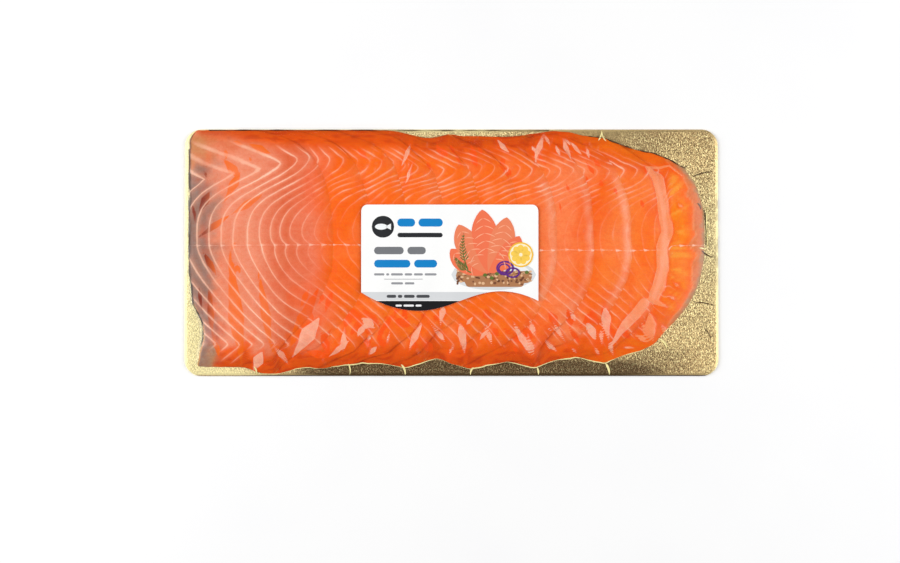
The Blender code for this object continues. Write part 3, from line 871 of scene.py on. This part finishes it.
def salmon_material():
    s = Shader("salmon_flesh")
    bands = s.attribute("bands")
    strength = s.attribute("strength")
    raised = s.attribute("lifted")
    across = s.node("SeparateXYZ", {"Vector": s.place()})
    uneven = s.times(s.math("SUBTRACT", s.noise(700), 0.5), 0.35)
    past_line = s.math("FRACT", s.plus(bands, 0.06))
    streak = s.step(s.noise(260, 3, 0.6, (0.35, 1.6, 1)), 0.3, 0.7)
    grain = s.step(s.noise(1500), 0.35, 0.75)

    whole = s.math("SUBTRACT", s.math("FRACT", s.plus(bands, 0.5)), 0.5)
    distance = s.plus(s.math("DIVIDE", s.math("ABSOLUTE", whole), s.attribute("per_mm")), uneven)
    own = s.node("TexWhiteNoise", {"W": s.math("ROUND", bands)}, noise_dimensions="1D")
    line = s.times(s.step(distance, 0.6, 0.12), strength)
    line = s.times(line, s.step(own, 0, 1, 0.74, 1))
    line = s.times(line, s.step(s.noise(110, 3), 0.3, 0.6, 0.6, 1))
    glow = s.times(s.step(distance, 1.9, 0.2), s.times(strength, 0.13))

    behind = s.times(s.step(past_line, 0, 0.75, 0.3, 0), strength)
    colour = s.mix(behind, s.attribute("tone", "Color"), LINE_GLOW)
    for pattern, share, tint in (
        (streak, 0.42, (1, 1.3, 1.4)),
        (s.step(s.noise(60), 0.35, 0.65), 0.3, (0.92, 0.70, 0.5)),
        (s.step(s.noise(420, 3, 0.65), 0.42, 0.62), 0.42, (0.95, 0.74, 0.6)),
        (grain, 0.45, (1, 1.3, 1.5)),
    ):
        colour = s.mix(s.times(pattern, share), colour, tint, "MULTIPLY")

    damp = s.mix(s.step(across, -0.12, -0.08), WET_FLESH, WET_BRIGHT)
    damp = s.mix(s.step(across, -0.155, -0.168), damp, WET_EDGE)
    wet = s.times(s.step(s.attribute("wet"), -0.35, 0.35), s.step(s.noise(70), 0.3, 0.7, 0.72, 0.98))
    colour = s.mix(wet, colour, damp)
    stuck = s.times(s.step(raised, -3, -0.4), s.step(raised, 0.1, -0.2))
    colour = s.mix(s.times(stuck, 0.45), colour, DEEP)
    colour = s.mix(line, s.mix(glow, colour, LINE), LINE)

    tick = s.step(past_line, 0, 0.45, 1.25, 0.14)
    off_middle = s.plus(s.math("ABSOLUTE", s.attribute("off_middle")), uneven)
    middle = s.step(s.math("DIVIDE", off_middle, tick), 1, 0.2)
    middle = s.times(middle, s.step(s.noise(420), 0.25, 0.6, 0.25, 0.8))
    colour = s.mix(s.times(middle, s.step(across, -0.12, -0.06, 0.6, 1)), colour, MIDDLE_LINE)
    # Painted reflection: the lifted patches are painted pale.
    pale = s.mix(s.step(across, 0.105, 0.13), PALE_REFLECTION, PALE_TAIL_REFLECTION)
    cloudy = s.step(s.noise(190, 4, 0.6), 0.3, 0.7, 0.55, 0.98)
    colour = s.mix(s.times(s.step(raised, -0.15, 0.15), cloudy), colour, pale)

    relief = s.plus(s.plus(s.times(line, -0.5), s.times(streak, 0.35)), s.times(grain, 0.12))
    return s.principled(
        Base_Color=colour,
        Roughness=s.step(s.noise(180), 0.3, 0.7, 0.34, 0.48),
        Specular_IOR_Level=0.08,
        Subsurface_Weight=0.12,
        Subsurface_Radius=(1, 0.4, 0.2),
        Subsurface_Scale=0.0025,
        Normal=s.bump(relief, 0.00022, 0.6),
    )


SLICE_ROWS = 110
SLICE_COLUMNS = 66
ROW_CROWDING = 0.55
COLUMN_CROWDING = 0.45
OUTLINE_SHRINK = 0.9985
RIPPLE_X = 0.7
RIPPLE_Y = 0.35
RIPPLE_SIZE = 13


def crowded(count, share):
    """Values from -1 to 1 that lie closer together towards both ends."""
    even = np.linspace(-1, 1, count)
    return (1 - share) * even + share * np.sin(even * math.pi / 2)


def make_slice(number, material):
    middle = (UPPER_REACH[number] - LOWER_REACH[number]) / 2
    half = (UPPER_REACH[number] + LOWER_REACH[number]) / 2 * OUTLINE_SHRINK
    even_y = (middle + half * crowded(SLICE_ROWS, ROW_CROWDING))[:, None] * np.ones(SLICE_COLUMNS)
    first = straight_end(number, even_y)
    last = np.maximum(round_end(number, even_y), first + 1)
    x = first + (last - first) * (0.5 + 0.5 * crowded(SLICE_COLUMNS, COLUMN_CROWDING))
    low, high = slice_surfaces(number, x, even_y)
    high = np.maximum(high, low + LEAST_EDGE)
    y = even_y + edge_pull(x, even_y)
    rim = fish_inset(x, even_y)
    bands, per_mm = slice_bands(number, x, y)
    values = {
        "bands": bands,
        "per_mm": per_mm * line_width(x, y),
        "strength": line_strength(x, y, rim),
        "tone": slice_tone(number, x, y, even_y, rim),
        "wet": wetted(x, y),
        "lifted": lifted(x, y),
        "off_middle": np.clip(y - midline(x), -9, 9),
    }
    loose = min(number, 1)
    place_x = x + RIPPLE_X * loose * noise(x, y, RIPPLE_SIZE, 300 + number)
    place_y = held(x, y + RIPPLE_Y * loose * noise(x, y, RIPPLE_SIZE, 330 + number))
    name = f"salmon_{number + 1:02d}"
    make_slab(name, place_x, place_y, low, high, values, material, "fish", SLICE_NODES[number], sharp=70)


# --- Film -----------------------------------------------------------------------------------------

CELL = 0.5
RASTER_X = np.arange(-CARD_HALF_X - 2, CARD_HALF_X + 2 + CELL, CELL)
RASTER_Y = np.arange(-CARD_HALF_Y - 2, CARD_HALF_Y + 2 + CELL, CELL)
FILM_FALL = 0.72
STIFF_FALL = 0.10
FILM_CLEAR = 0.28
FILM_THICK = 0.08
FILM_ON_CARD = 0.10
FILM_INSET = 0.35
FILM_CELL = 1.13
EDGE_OFFSETS = (0, 0.15, 0.45, 0.95, 1.7)
FISH_MARGIN = 0.6
CREASE_SINK = 0.1
CREASE_THICK = 0.32
# How far a height is blurred, in cells of the raster.
DRAWN_SOFTNESS = 2.2
STIFF_SOFTNESS = 10
LABEL_SOFTNESS = 6


def read_raster(field, x, y):
    """A raster field between its cells."""
    across = np.clip((x - RASTER_X[0]) / CELL, 0, len(RASTER_X) - 1.001)
    up = np.clip((y - RASTER_Y[0]) / CELL, 0, len(RASTER_Y) - 1.001)
    return sample(field, across, up, lambda share: share)


def fish_raster():
    """Height of what lies under the film."""
    x, y = np.meshgrid(RASTER_X, RASTER_Y)
    y = y - edge_pull(x, y)
    height = np.full(x.shape, CARD_TOP)
    for number in range(COUNT):
        high = slice_surfaces(number, x, y)[1]
        height = np.where(slice_inset(number, x, y) > -FISH_MARGIN, np.maximum(height, high), height)
    return height


FISH_HEIGHT = fish_raster()
DRAWN_HEIGHT = np.maximum(blur(tent(FISH_HEIGHT, FILM_FALL * CELL), DRAWN_SOFTNESS), FISH_HEIGHT)
STIFF_HEIGHT = blur(tent(FISH_HEIGHT, STIFF_FALL * CELL), STIFF_SOFTNESS)
LABEL_FIELD = np.maximum(STIFF_HEIGHT, blur(DRAWN_HEIGHT, LABEL_SOFTNESS))


def spaced(half, cell):
    """Values from -half to half, a cell apart, and closer near both ends."""
    inner = half - EDGE_OFFSETS[-1]
    middle = np.linspace(-inner, inner, int(round(2 * inner / cell)) + 1)
    ends = np.array(EDGE_OFFSETS[:-1])
    return np.concatenate([-half + ends, middle, (half - ends)[::-1]])


def sheet_grid(inset, cell):
    """Places over the card out to a distance from its edge."""
    half_x = CARD_HALF_X - inset
    half_y = CARD_HALF_Y - inset
    radius = CARD_RADIUS - inset
    across = spaced(half_y, cell)
    past = np.clip(np.abs(across) - (half_y - radius), 0, radius)
    reach = half_x - radius + np.sqrt(radius**2 - past**2)
    x = reach[:, None] * (spaced(half_x, cell) / half_x)
    return x, across[:, None] + np.zeros_like(x)


def over_fish(x, y):
    """1 where the film lies over the fish, and 0 where it lies on the card."""
    return ease(CARD_TOP + 0.05, CARD_TOP + 0.5, read_raster(DRAWN_HEIGHT, x, y))


def film_height(x, y):
    """Height of the film's underside."""
    relief = FILM_CLEAR - FILM_ON_CARD + 0.35 * ease(-0.3, 1.2, lifted(x, y)) + 0.45 * wrinkled(x, y)
    relief = relief + 0.07 * noise(x, 2.5 * y, 7, 64)
    return read_raster(DRAWN_HEIGHT, x, y) + FILM_ON_CARD + relief * over_fish(x, y)


def film_material():
    s = Shader("clear_film")
    outer = s.attribute("outer")
    raised = s.attribute("lifted")
    patch = s.step(raised, -0.15, 0.15)
    # Painted reflection: a pale diffuse veil in the lifted patches, with painted highlights along their lips
    # and over the wrinkles.
    painted_reflection = s.times(patch, s.plus(s.times(s.step(s.noise(110, 3), 0.3, 0.75), 0.06), 0.03))
    lip_highlight = s.times(s.step(s.math("ABSOLUTE", raised), 0.4, 0.1), s.step(s.noise(150), 0.45, 0.6))
    painted_reflection = s.plus(painted_reflection, s.times(lip_highlight, 0.14))
    painted_reflection = s.plus(painted_reflection, s.times(s.attribute("wrinkle"), 0.16))
    relief = s.plus(s.times(patch, 0.12), s.times(s.noise(240, 2, 0.5, (0.5, 1.5, 1)), 0.45))
    normal = s.bump(relief, 0.0004, 0.55)
    reflection_veil = s.node("BsdfDiffuse", {"Color": (0.97, 0.70, 0.58), "Normal": normal})
    clear = s.node("BsdfTransparent", {"Color": (1, 1, 1)})
    body = s.node("MixShader", {0: s.times(painted_reflection, outer), 1: clear, 2: reflection_veil})
    gloss = s.node("BsdfGlossy", {"Color": (1, 1, 1), "Roughness": 0.3, "Normal": normal})
    slant = s.node("LayerWeight", {"Blend": 0.5, "Normal": normal}, output="Facing")
    grazing = s.times(s.math("POWER", slant, 5), 0.96)
    mirror = s.times(s.plus(grazing, 0.024), outer)
    return s.done(s.node("MixShader", {0: mirror, 1: body, 2: gloss}))


def make_film(material):
    x, y = sheet_grid(FILM_INSET, FILM_CELL)
    low = film_height(x, y)
    share = over_fish(x, y)
    values = {
        "lifted": np.where(share > 0.1, lifted(x, y), -6),
        "wrinkle": np.clip(wrinkled(x, y) * share, 0, 1),
    }
    make_slab("clear_film", x, y, low, low + FILM_THICK, values, material, "film", "film")


def lower_rim(share):
    """Where the film leaves the fish along its lower edge."""
    x = -128 + 258 * share
    return x, lower_line(x) - 0.25


def upper_rim(share):
    x = 92 + 66 * share
    return x, upper_line(x) + 0.1


def card_rim(share):
    """The film's edge along the card's upper edge, where a line of painted shade runs."""
    return -164 + 230 * share, CARD_HALF_Y - 0.55


def thick_rim(share):
    y = 70 - 134 * share
    return np.interp(y, *zip(*THICK_EDGE)) - 0.15, y


def uneven_width(half, seed):
    """A width that comes and goes along a rim."""
    return lambda share: half * (0.62 + 0.55 * float(noise(30 * share, 0, 1, seed)))


def make_creases(name, creases, rims, colour):
    """Ridges where the film is folded over bare card, or leaves the fish, each set coloured as painted
    highlight, or as painted shade.
    """
    shapes = []
    for x0, y0, x1, y1, half_width, bend in creases:
        shapes.append(ribbon(between((x0, y0), (x1, y1), bend), leaf_width(half_width, 0.35), 20, 5))
    for number, (spine, half_width) in enumerate(rims):
        shapes.append(ribbon(spine, uneven_width(half_width, 400 + number), 260, 3))
    s = Shader(name)
    tint = s.mix(s.step(s.noise(500), 0.35, 0.7), colour, tuple(0.8 * channel for channel in colour))
    normal = s.bump(s.noise(900), 0.0002, 0.5)
    material = s.principled(Base_Color=tint, Roughness=0.3, Specular_IOR_Level=0.5, Normal=normal)
    make_layer(name, shapes, lambda x, y: film_height(x, y) - CREASE_SINK, CREASE_THICK, material, "film")


# --- Card -----------------------------------------------------------------------------------------

CARD_CELL = 2.4
CARD_BEVEL = 0.45
UPPER_BEVEL = 0.42
LOWER_BEVEL = 0.35
GOLD = linear(216, 184, 126)
# Pale gold for random tone and for painted highlights; dark gold for painted shade.
GOLD_PALE_AND_HIGHLIGHT = linear(255, 240, 176)
GOLD_SHADE = linear(92, 68, 32)


def card_material():
    s = Shader("gold_card")
    shine = s.attribute("shine")
    rough_part = s.attribute("grain")
    hide = s.node("TexVoronoi", {"Vector": s.place((1.2, 0.62, 1)), "Scale": 1250}, feature="SMOOTH_F1")
    soft = s.noise(1300, 2, 0.6)
    grain = s.plus(s.times(hide, 0.9), s.times(soft, 0.8))
    # Painted shadows in the crumples at the card's right end, and painted shade and highlights on the grain.
    crumple_shade = s.times(s.step(s.noise(260, 3, 0.6, (1.5, 0.5, 1)), 0.4, 0.64), s.attribute("end"))
    grain_shade = s.times(s.step(shine, 0.2, 1, 0.66, 0.3), rough_part)
    grain_highlight = s.times(s.step(shine, -0.9, 0, 0.2, 0.86), rough_part)
    # Random pale tone, then painted highlight and shade from the shine, the crumples and the grain.
    colour = GOLD
    for share, other in (
        (s.step(s.noise(28), 0.3, 0.7, 0, 0.2), GOLD_PALE_AND_HIGHLIGHT),
        (s.step(shine, 0, 1), GOLD_PALE_AND_HIGHLIGHT),
        (s.step(shine, 0, -1), GOLD_SHADE),
        (s.times(crumple_shade, 0.5), GOLD_SHADE),
        (s.times(s.step(grain, 0.80, 0.68), grain_shade), GOLD_SHADE),
        (s.times(s.step(grain, 0.88, 0.98), grain_highlight), GOLD_PALE_AND_HIGHLIGHT),
    ):
        colour = s.mix(share, colour, other)
    return s.principled(
        Base_Color=colour,
        Metallic=s.step(shine, 0, 1, 0.55, 0.1),
        Roughness=s.step(soft, 0.3, 0.7, 0.26, 0.42),
        Normal=s.bump(s.times(grain, rough_part), 0.0007, 1),
    )


def card_painted_light(x, y):
    """Painted reflection and shade on the gold: brighter along the two ends and the upper edge, darker along
    the lower edge.
    """
    left = ease(-CARD_HALF_X + 110, -CARD_HALF_X + 16, x)
    right = ease(CARD_HALF_X - 60, CARD_HALF_X - 8, x) * (1.2 - np.abs(y - 5) / CARD_HALF_Y)
    top = 0.6 * ease(60, 75, y) * ease(60, 10, x) - 0.34 * ease(56, 70, y) * ease(60, 130, x)
    bottom = ease(-CARD_HALF_Y + 17, -CARD_HALF_Y + 4, y) * ease(-150, -62, x) * ease(180, 90, x)
    bottom = np.maximum(bottom, 0.3 * ease(-61, -68, y) * ease(110, 126, x) * ease(176, 152, x))
    return left + 0.55 * right + top - 0.12 - 1.35 * bottom


def make_card(material):
    x, y = sheet_grid(0, CARD_CELL)
    across, along = (np.minimum(np.arange(count), np.arange(count)[::-1]) for count in x.shape)
    steps = np.minimum(along[None, :], across[:, None])
    rounded = 1 - rounded_rise(np.interp(steps, range(len(EDGE_OFFSETS)), EDGE_OFFSETS) / CARD_BEVEL)
    edge = np.interp(steps, range(len(EDGE_OFFSETS) + 1), (*EDGE_OFFSETS, EDGE_OFFSETS[-1] + CARD_CELL))
    # Painted highlight along the card's rim, and a painted shadow line along its lower edge.
    shine = card_painted_light(x, y) + 0.5 * ease(1.8, 0.6, edge) - 1.6 * ease(0.9, 0.3, y + CARD_HALF_Y)
    calm = ease(62, 72, y) * ease(130, 108, x) * ease(60, 80, x)
    values = {
        "shine": np.clip(shine, -1, 1),
        "grain": ease(0.6, 2.4, edge) * (1 - 0.7 * calm),
        "end": ease(CARD_HALF_X - 16, CARD_HALF_X - 5, x) * ease(50, 20, np.abs(y - 12)),
    }
    low = LOWER_BEVEL * rounded
    high = CARD_TOP - UPPER_BEVEL * rounded
    make_slab("gold_card", x, y, low, high, values, material, "card", "card", sharp=60)


# --- Label and its print --------------------------------------------------------------------------

LABEL_LEFT, TROUGH = LABEL_LOW[:2]
LABEL_RIGHT, LABEL_TOP = LABEL_HIGH[:2]
TROUGH_X = LABEL_LEFT + 38.7
CREST_X = LABEL_RIGHT - 25.2
CREST = TROUGH + 13.1
SHOULDER = TROUGH + 12.4
RIGHT_FOOT = TROUGH + 6.6
LABEL_CORNER = 4.3
LABEL_THICK = 0.16
LABEL_LIFT = 0.75
LABEL_COLUMNS = 118
LABEL_ROWS = 70
INK = 0.025


def label_foot(x):
    """Lower edge of the label: a trough on the left and a crest on the right."""
    left = np.clip((x - LABEL_LEFT) / (TROUGH_X - LABEL_LEFT), 0, 1)
    middle = np.clip((x - TROUGH_X) / (CREST_X - TROUGH_X), 0, 1)
    right = np.clip((x - CREST_X) / (LABEL_RIGHT - CREST_X), 0, 1)
    falling = TROUGH + (SHOULDER - TROUGH) * (1 - left) ** 2
    climbing = TROUGH + (CREST - TROUGH) * (1 - np.cos(middle * math.pi)) / 2
    last = CREST + (RIGHT_FOOT - CREST) * right**2
    return np.where(x < TROUGH_X, falling, np.where(x < CREST_X, climbing, last))


def label_head(x):
    """Upper edge of the label, with its two round corners."""
    straight = (LABEL_RIGHT - LABEL_LEFT) / 2 - LABEL_CORNER
    past = np.clip(np.abs(x - (LABEL_LEFT + LABEL_RIGHT) / 2) - straight, 0, LABEL_CORNER)
    return LABEL_TOP - LABEL_CORNER + np.sqrt(LABEL_CORNER**2 - past**2)


def label_height(x, y):
    """Height of the label's underside."""
    return read_raster(LABEL_FIELD, x, y) + FILM_CLEAR + FILM_THICK + LABEL_LIFT


def paper_material(name, colour):
    s = Shader(name)
    fibre = s.noise(1800, 3, 0.6)
    broad = s.noise(45)
    shade = tuple(0.955 * channel for channel in colour)
    tint = s.mix(s.step(fibre, 0.3, 0.75, 0, 0.5), colour, shade)
    tint = s.mix(s.step(broad, 0.35, 0.7, 0, 0.4), tint, shade)
    normal = s.bump(s.plus(s.times(fibre, 0.15), broad), 0.0002, 0.35)
    return s.principled(Base_Color=tint, Roughness=0.42, Specular_IOR_Level=0.35, Normal=normal)


def rows_between(x, foot, head, rows):
    """Grid of places in even rows from one edge to another."""
    share = np.linspace(0, 1, rows)[:, None]
    return x + np.zeros_like(share), foot + (head - foot) * share


def make_label():
    share = 0.5 + 0.5 * crowded(LABEL_COLUMNS, 0.7)
    across = LABEL_LEFT + (LABEL_RIGHT - LABEL_LEFT) * share
    x, y = rows_between(across, label_foot(across), label_head(across), LABEL_ROWS)
    low = label_height(x, y)
    paper = paper_material("label_paper", linear(250, 250, 249))
    make_slab("label_paper", x, y, low, low + LABEL_THICK, {}, paper, "label", "label", sharp=40)


def disc(x, y, radius_x, radius_y=None):
    return ribbon(between((x - radius_x, y), (x + radius_x, y)), oval_width(radius_y or radius_x), 28, 9)


def ring(x, y, radius, half, squash):
    def spine(share):
        angle = share * 2 * math.pi
        return x + radius * math.cos(angle), y + squash * radius * math.sin(angle)
    return ribbon(spine, lambda share: half, 40, 3)


def bar(x0, x1, y, height):
    """A rounded bar, which stands for a word."""
    half = height / 2
    length = x1 - x0

    def width(share):
        near = min(share, 1 - share) * length
        return half * math.sqrt(max(0, 1 - (1 - min(near / half, 1)) ** 2))
    return ribbon(between((x0, y), (x1, y)), width, 40, 5)


def words(x0, y, height, lengths, space):
    shapes = []
    for length in lengths:
        shapes.append(bar(x0, x0 + length, y, height))
        x0 += length + space
    return shapes


def band(x0, x1, low, high):
    """An area of the label between two heights, cut to the label's own lower edge."""
    across = np.linspace(x0, x1, 90)
    foot = np.maximum(low, label_foot(across) + 0.02)
    return rows_between(across, foot, np.maximum(high, foot + 0.05), 7)


def ink_foot(x, y):
    return label_height(x, y) + LABEL_THICK - INK


def ink(name, colour, layer, shapes):
    """One printed colour. A higher layer covers the lower ones."""
    material = paper_material(name, linear(*colour))
    make_layer(name, shapes, ink_foot, INK * (1 + layer), material, "label")


def print_words():
    tail = ribbon(between((-44.4, 16.8), (-40.6, 16.8)), lambda share: 0.2 + 1.9 * share)
    fine = [
        *words(-52, -15.2, 1.5, (7, 2, 8, 5, 6, 8), 1.2),
        bar(-45.5, -19, -18.4, 0.4),
        *words(-40.5, -21.2, 1.5, (8, 6.4), 1.2),
    ]
    blue = words(-36.4, 19.6, 5.4, (12, 16.4), 2.2) + words(-52, -8, 5.2, (24.5, 15.5), 2.4)
    ink("print_charcoal", (34, 36, 40), 1, [bar(-53.5, -38.5, 16.8, 14.6), bar(-36.4, -5.8, 11.2, 3)])
    ink("print_mark", (242, 245, 246), 2, [disc(-47.2, 16.8, 4.2, 2), tail])
    ink("print_blue", (0, 128, 198), 1, blue)
    ink("print_grey", (118, 120, 124), 1, words(-52, 0.8, 5, (20, 12.4), 2.4))
    ink("print_fine_grey", (150, 151, 155), 1, fine)
    ink("print_grey_band", (214, 216, 218), 1, [band(LABEL_LEFT + 0.6, 24, -32.6, -27)])
    ink("print_band_words", (70, 72, 76), 2, words(-43.5, -29.9, 2, (6.4, 3, 7.2, 9), 1.1))
    ink("print_black_band", (14, 14, 16), 1, [band(-50, 6, TROUGH - 1, -33)])
    ink("print_band_mark", (240, 240, 240), 2, words(-37.5, -36.1, 1.3, (4.2, 7, 4), 1.1))


def crumbs(count, seed):
    dice = np.random.default_rng(seed)
    made = []
    for _ in range(count):
        x = dice.uniform(4, 53.5)
        y = dice.uniform(-22, -12.5)
        made.append(disc(x, y, dice.uniform(0.5, 1.2), dice.uniform(0.5, 1)))
    return made


def toward(start, degrees, length, bend=0):
    """A bowed line that leaves a place in a direction."""
    angle = math.radians(degrees)
    end = (start[0] + length * math.cos(angle), start[1] + length * math.sin(angle))
    return between(start, end, bend)


def leaf_streaks(spine, width):
    """Pale lines in a slice of the picture."""
    streaks = []
    for share in (0.36, 0.48, 0.60, 0.72, 0.84):
        middle = spine(share)
        ahead = spine(share + 0.06) - middle
        ahead = ahead / np.linalg.norm(ahead)
        side = np.array([ahead[1], -ahead[0]])
        for hand in (-1, 1):
            end = middle + side * hand * width(share) * 0.8 - ahead * 2.2
            streaks.append(ribbon(between(middle + ahead, end, 0.06 * hand), leaf_width(0.28), 14, 3))
    return streaks


def dill(x, y, degrees, length):
    spine = toward((x, y), degrees, length, 0.08)
    shapes = [ribbon(spine, lambda share: 0.32 * (1.1 - share), 24, 3)]
    for number in range(9):
        share = 0.25 + 0.08 * number
        for hand in (-1, 1):
            way = degrees + math.degrees(hand * 0.75)
            twig = toward(spine(share), way, 4.6 * (1.15 - share), 0.06 * hand)
            shapes.append(ribbon(twig, leaf_width(0.30), 10, 3))
    return shapes


def print_picture():
    """A plate with a fan of slices on crispbread, a lemon wheel, onion rings, dill and capers."""
    ink("picture_plate_rim", (218, 221, 223), 1, [disc(28.3, -15.4, 28.4, 10.4)])
    ink("picture_plate", (238, 240, 240), 2, [disc(28.3, -14.8, 25, 8.4)])
    bread = [bar(3, 29, -16, 8.6), bar(25, 54, -17, 8), bar(9, 49, -20.6, 6)]
    ink("picture_crispbread", (176, 122, 82), 3, bread)
    ink("picture_crumbs", (120, 74, 50), 4, crumbs(60, 5))
    ink("picture_crumbs_pale", (226, 182, 140), 5, crumbs(44, 6))
    leaves = (
        (148, 30, 6.6, 0.10), (122, 38, 8, 0.06), (96, 42.5, 8.6, 0), (72, 39, 8.2, -0.05),
        (50, 32, 7, -0.08),
    )
    streaks = []
    for order, (degrees, length, half, bend) in enumerate(leaves):
        spine = toward((25, -14), degrees, length, bend)
        width = leaf_width(half, 0.62)
        streaks += leaf_streaks(spine, width)
        colour = ((240, 116, 78), (236, 130, 90))[order % 2]
        ink(f"picture_slice_{order + 1}", colour, 6 + order, [ribbon(spine, width, 40, 7)])
    ink("picture_slice_lines", (250, 176, 140), 12, streaks)
    lemon = np.array((46.5, -2))
    ink("picture_lemon_peel", (244, 190, 50), 12, [disc(*lemon, 8.4)])
    ink("picture_lemon_pith", (252, 240, 206), 13, [disc(*lemon, 7.4)])
    wedges = []
    for number in range(9):
        angle = number * 2 * math.pi / 9 + 0.2
        way = np.array((math.cos(angle), math.sin(angle)))
        wedges.append(ribbon(between(lemon + way, lemon + 6.8 * way), leaf_width(1.9, 0.72), 18, 5))
    ink("picture_lemon_flesh", (250, 206, 84), 14, wedges)
    rings = [ring(36, -11, 5.4, 0.6, 0.8), ring(35.4, -11.2, 3.6, 0.5, 0.8), ring(41, -14, 4.4, 0.55, 0.7)]
    ink("picture_onion", (98, 40, 130), 12, rings)
    capers = [disc(x, y, 1.3, 1.15) for x, y in ((22.5, -15.6), (27, -17.6), (30.5, -14.8), (50.5, -13.8))]
    ink("picture_capers", (96, 116, 50), 12, capers)
    ink("picture_dill", (70, 116, 50), 13, dill(11, -12, 96, 25) + dill(13, -14, 136, 15))


# --- Studio ---------------------------------------------------------------------------------------

AIM = (-1, -19.7, 5)
CAMERA_DISTANCE = 2000
CAMERA_ELEVATION = math.radians(88.1)
LENS = 118.75
SENSOR = 36


def make_floor():
    s = Shader("studio_floor")
    tone = s.mix(s.step(s.noise(9), 0.3, 0.7), (0.93, 0.93, 0.93), (0.915, 0.915, 0.92))
    bpy.ops.mesh.primitive_plane_add(size=8, location=(0, 0, 0))
    floor = bpy.context.object
    floor.name = "studio_floor"
    floor.data.materials.append(s.principled(Base_Color=tone, Roughness=0.6, Specular_IOR_Level=0.2))


def area_light(name, place, size, power):
    """A soft box that faces the middle of the pack. Places and sizes of lights are in metres."""
    data = bpy.data.lights.new(name, "AREA")
    data.shape = "RECTANGLE"
    data.size, data.size_y = size
    data.energy = power
    lamp = bpy.data.objects.new(name, data)
    lamp.location = place
    lamp.rotation_mode = "QUATERNION"
    lamp.rotation_quaternion = (-Vector(place)).to_track_quat("-Z", "Y")
    bpy.context.scene.collection.objects.link(lamp)


def make_studio():
    make_floor()
    area_light("softbox_left", (-1.5, 0.15, 1), (1.3, 1.5), 33.5)
    area_light("softbox_right", (1.5, 0, 1), (1.3, 1.5), 27.5)
    world = bpy.data.worlds.new("studio")
    world.use_nodes = True
    background = world.node_tree.nodes["Background"]
    background.inputs["Color"].default_value = (1, 1, 1, 1)
    background.inputs["Strength"].default_value = 0.2
    bpy.context.scene.world = world
    bpy.context.scene.view_settings.view_transform = "Standard"
    bpy.context.scene.view_settings.look = "None"


def make_camera():
    data = bpy.data.cameras.new("camera")
    data.lens = LENS
    data.sensor_width = SENSOR
    data.clip_start = 0.05
    data.clip_end = 20
    camera = bpy.data.objects.new("camera", data)
    back = Vector((0, -math.cos(CAMERA_ELEVATION), math.sin(CAMERA_ELEVATION)))
    camera.location = (Vector(AIM) + back * CAMERA_DISTANCE) * MM
    camera.rotation_mode = "QUATERNION"
    camera.rotation_quaternion = (-back).to_track_quat("-Z", "Y")
    bpy.context.scene.collection.objects.link(camera)
    bpy.context.scene.camera = camera


make_studio()
make_camera()
make_card(card_material())
salmon = salmon_material()
for number in range(COUNT):
    make_slice(number, salmon)
make_film(film_material())
# Painted highlights on some creases and along the fish's lower edge; painted shade on the others, along the
# tail's upper edge, the thick end and the card's upper edge.
make_creases("film_crease_highlight", CREASE_HIGHLIGHTS, ((lower_rim, 0.36),), linear(255, 240, 170))
SHADED_RIMS = ((upper_rim, 0.4), (thick_rim, 0.42), (card_rim, 0.4))
make_creases("film_crease_shaded", CREASE_SHADES, SHADED_RIMS, linear(74, 50, 26))
make_label()
print_words()
print_picture()

bpy.context.view_layer.update()
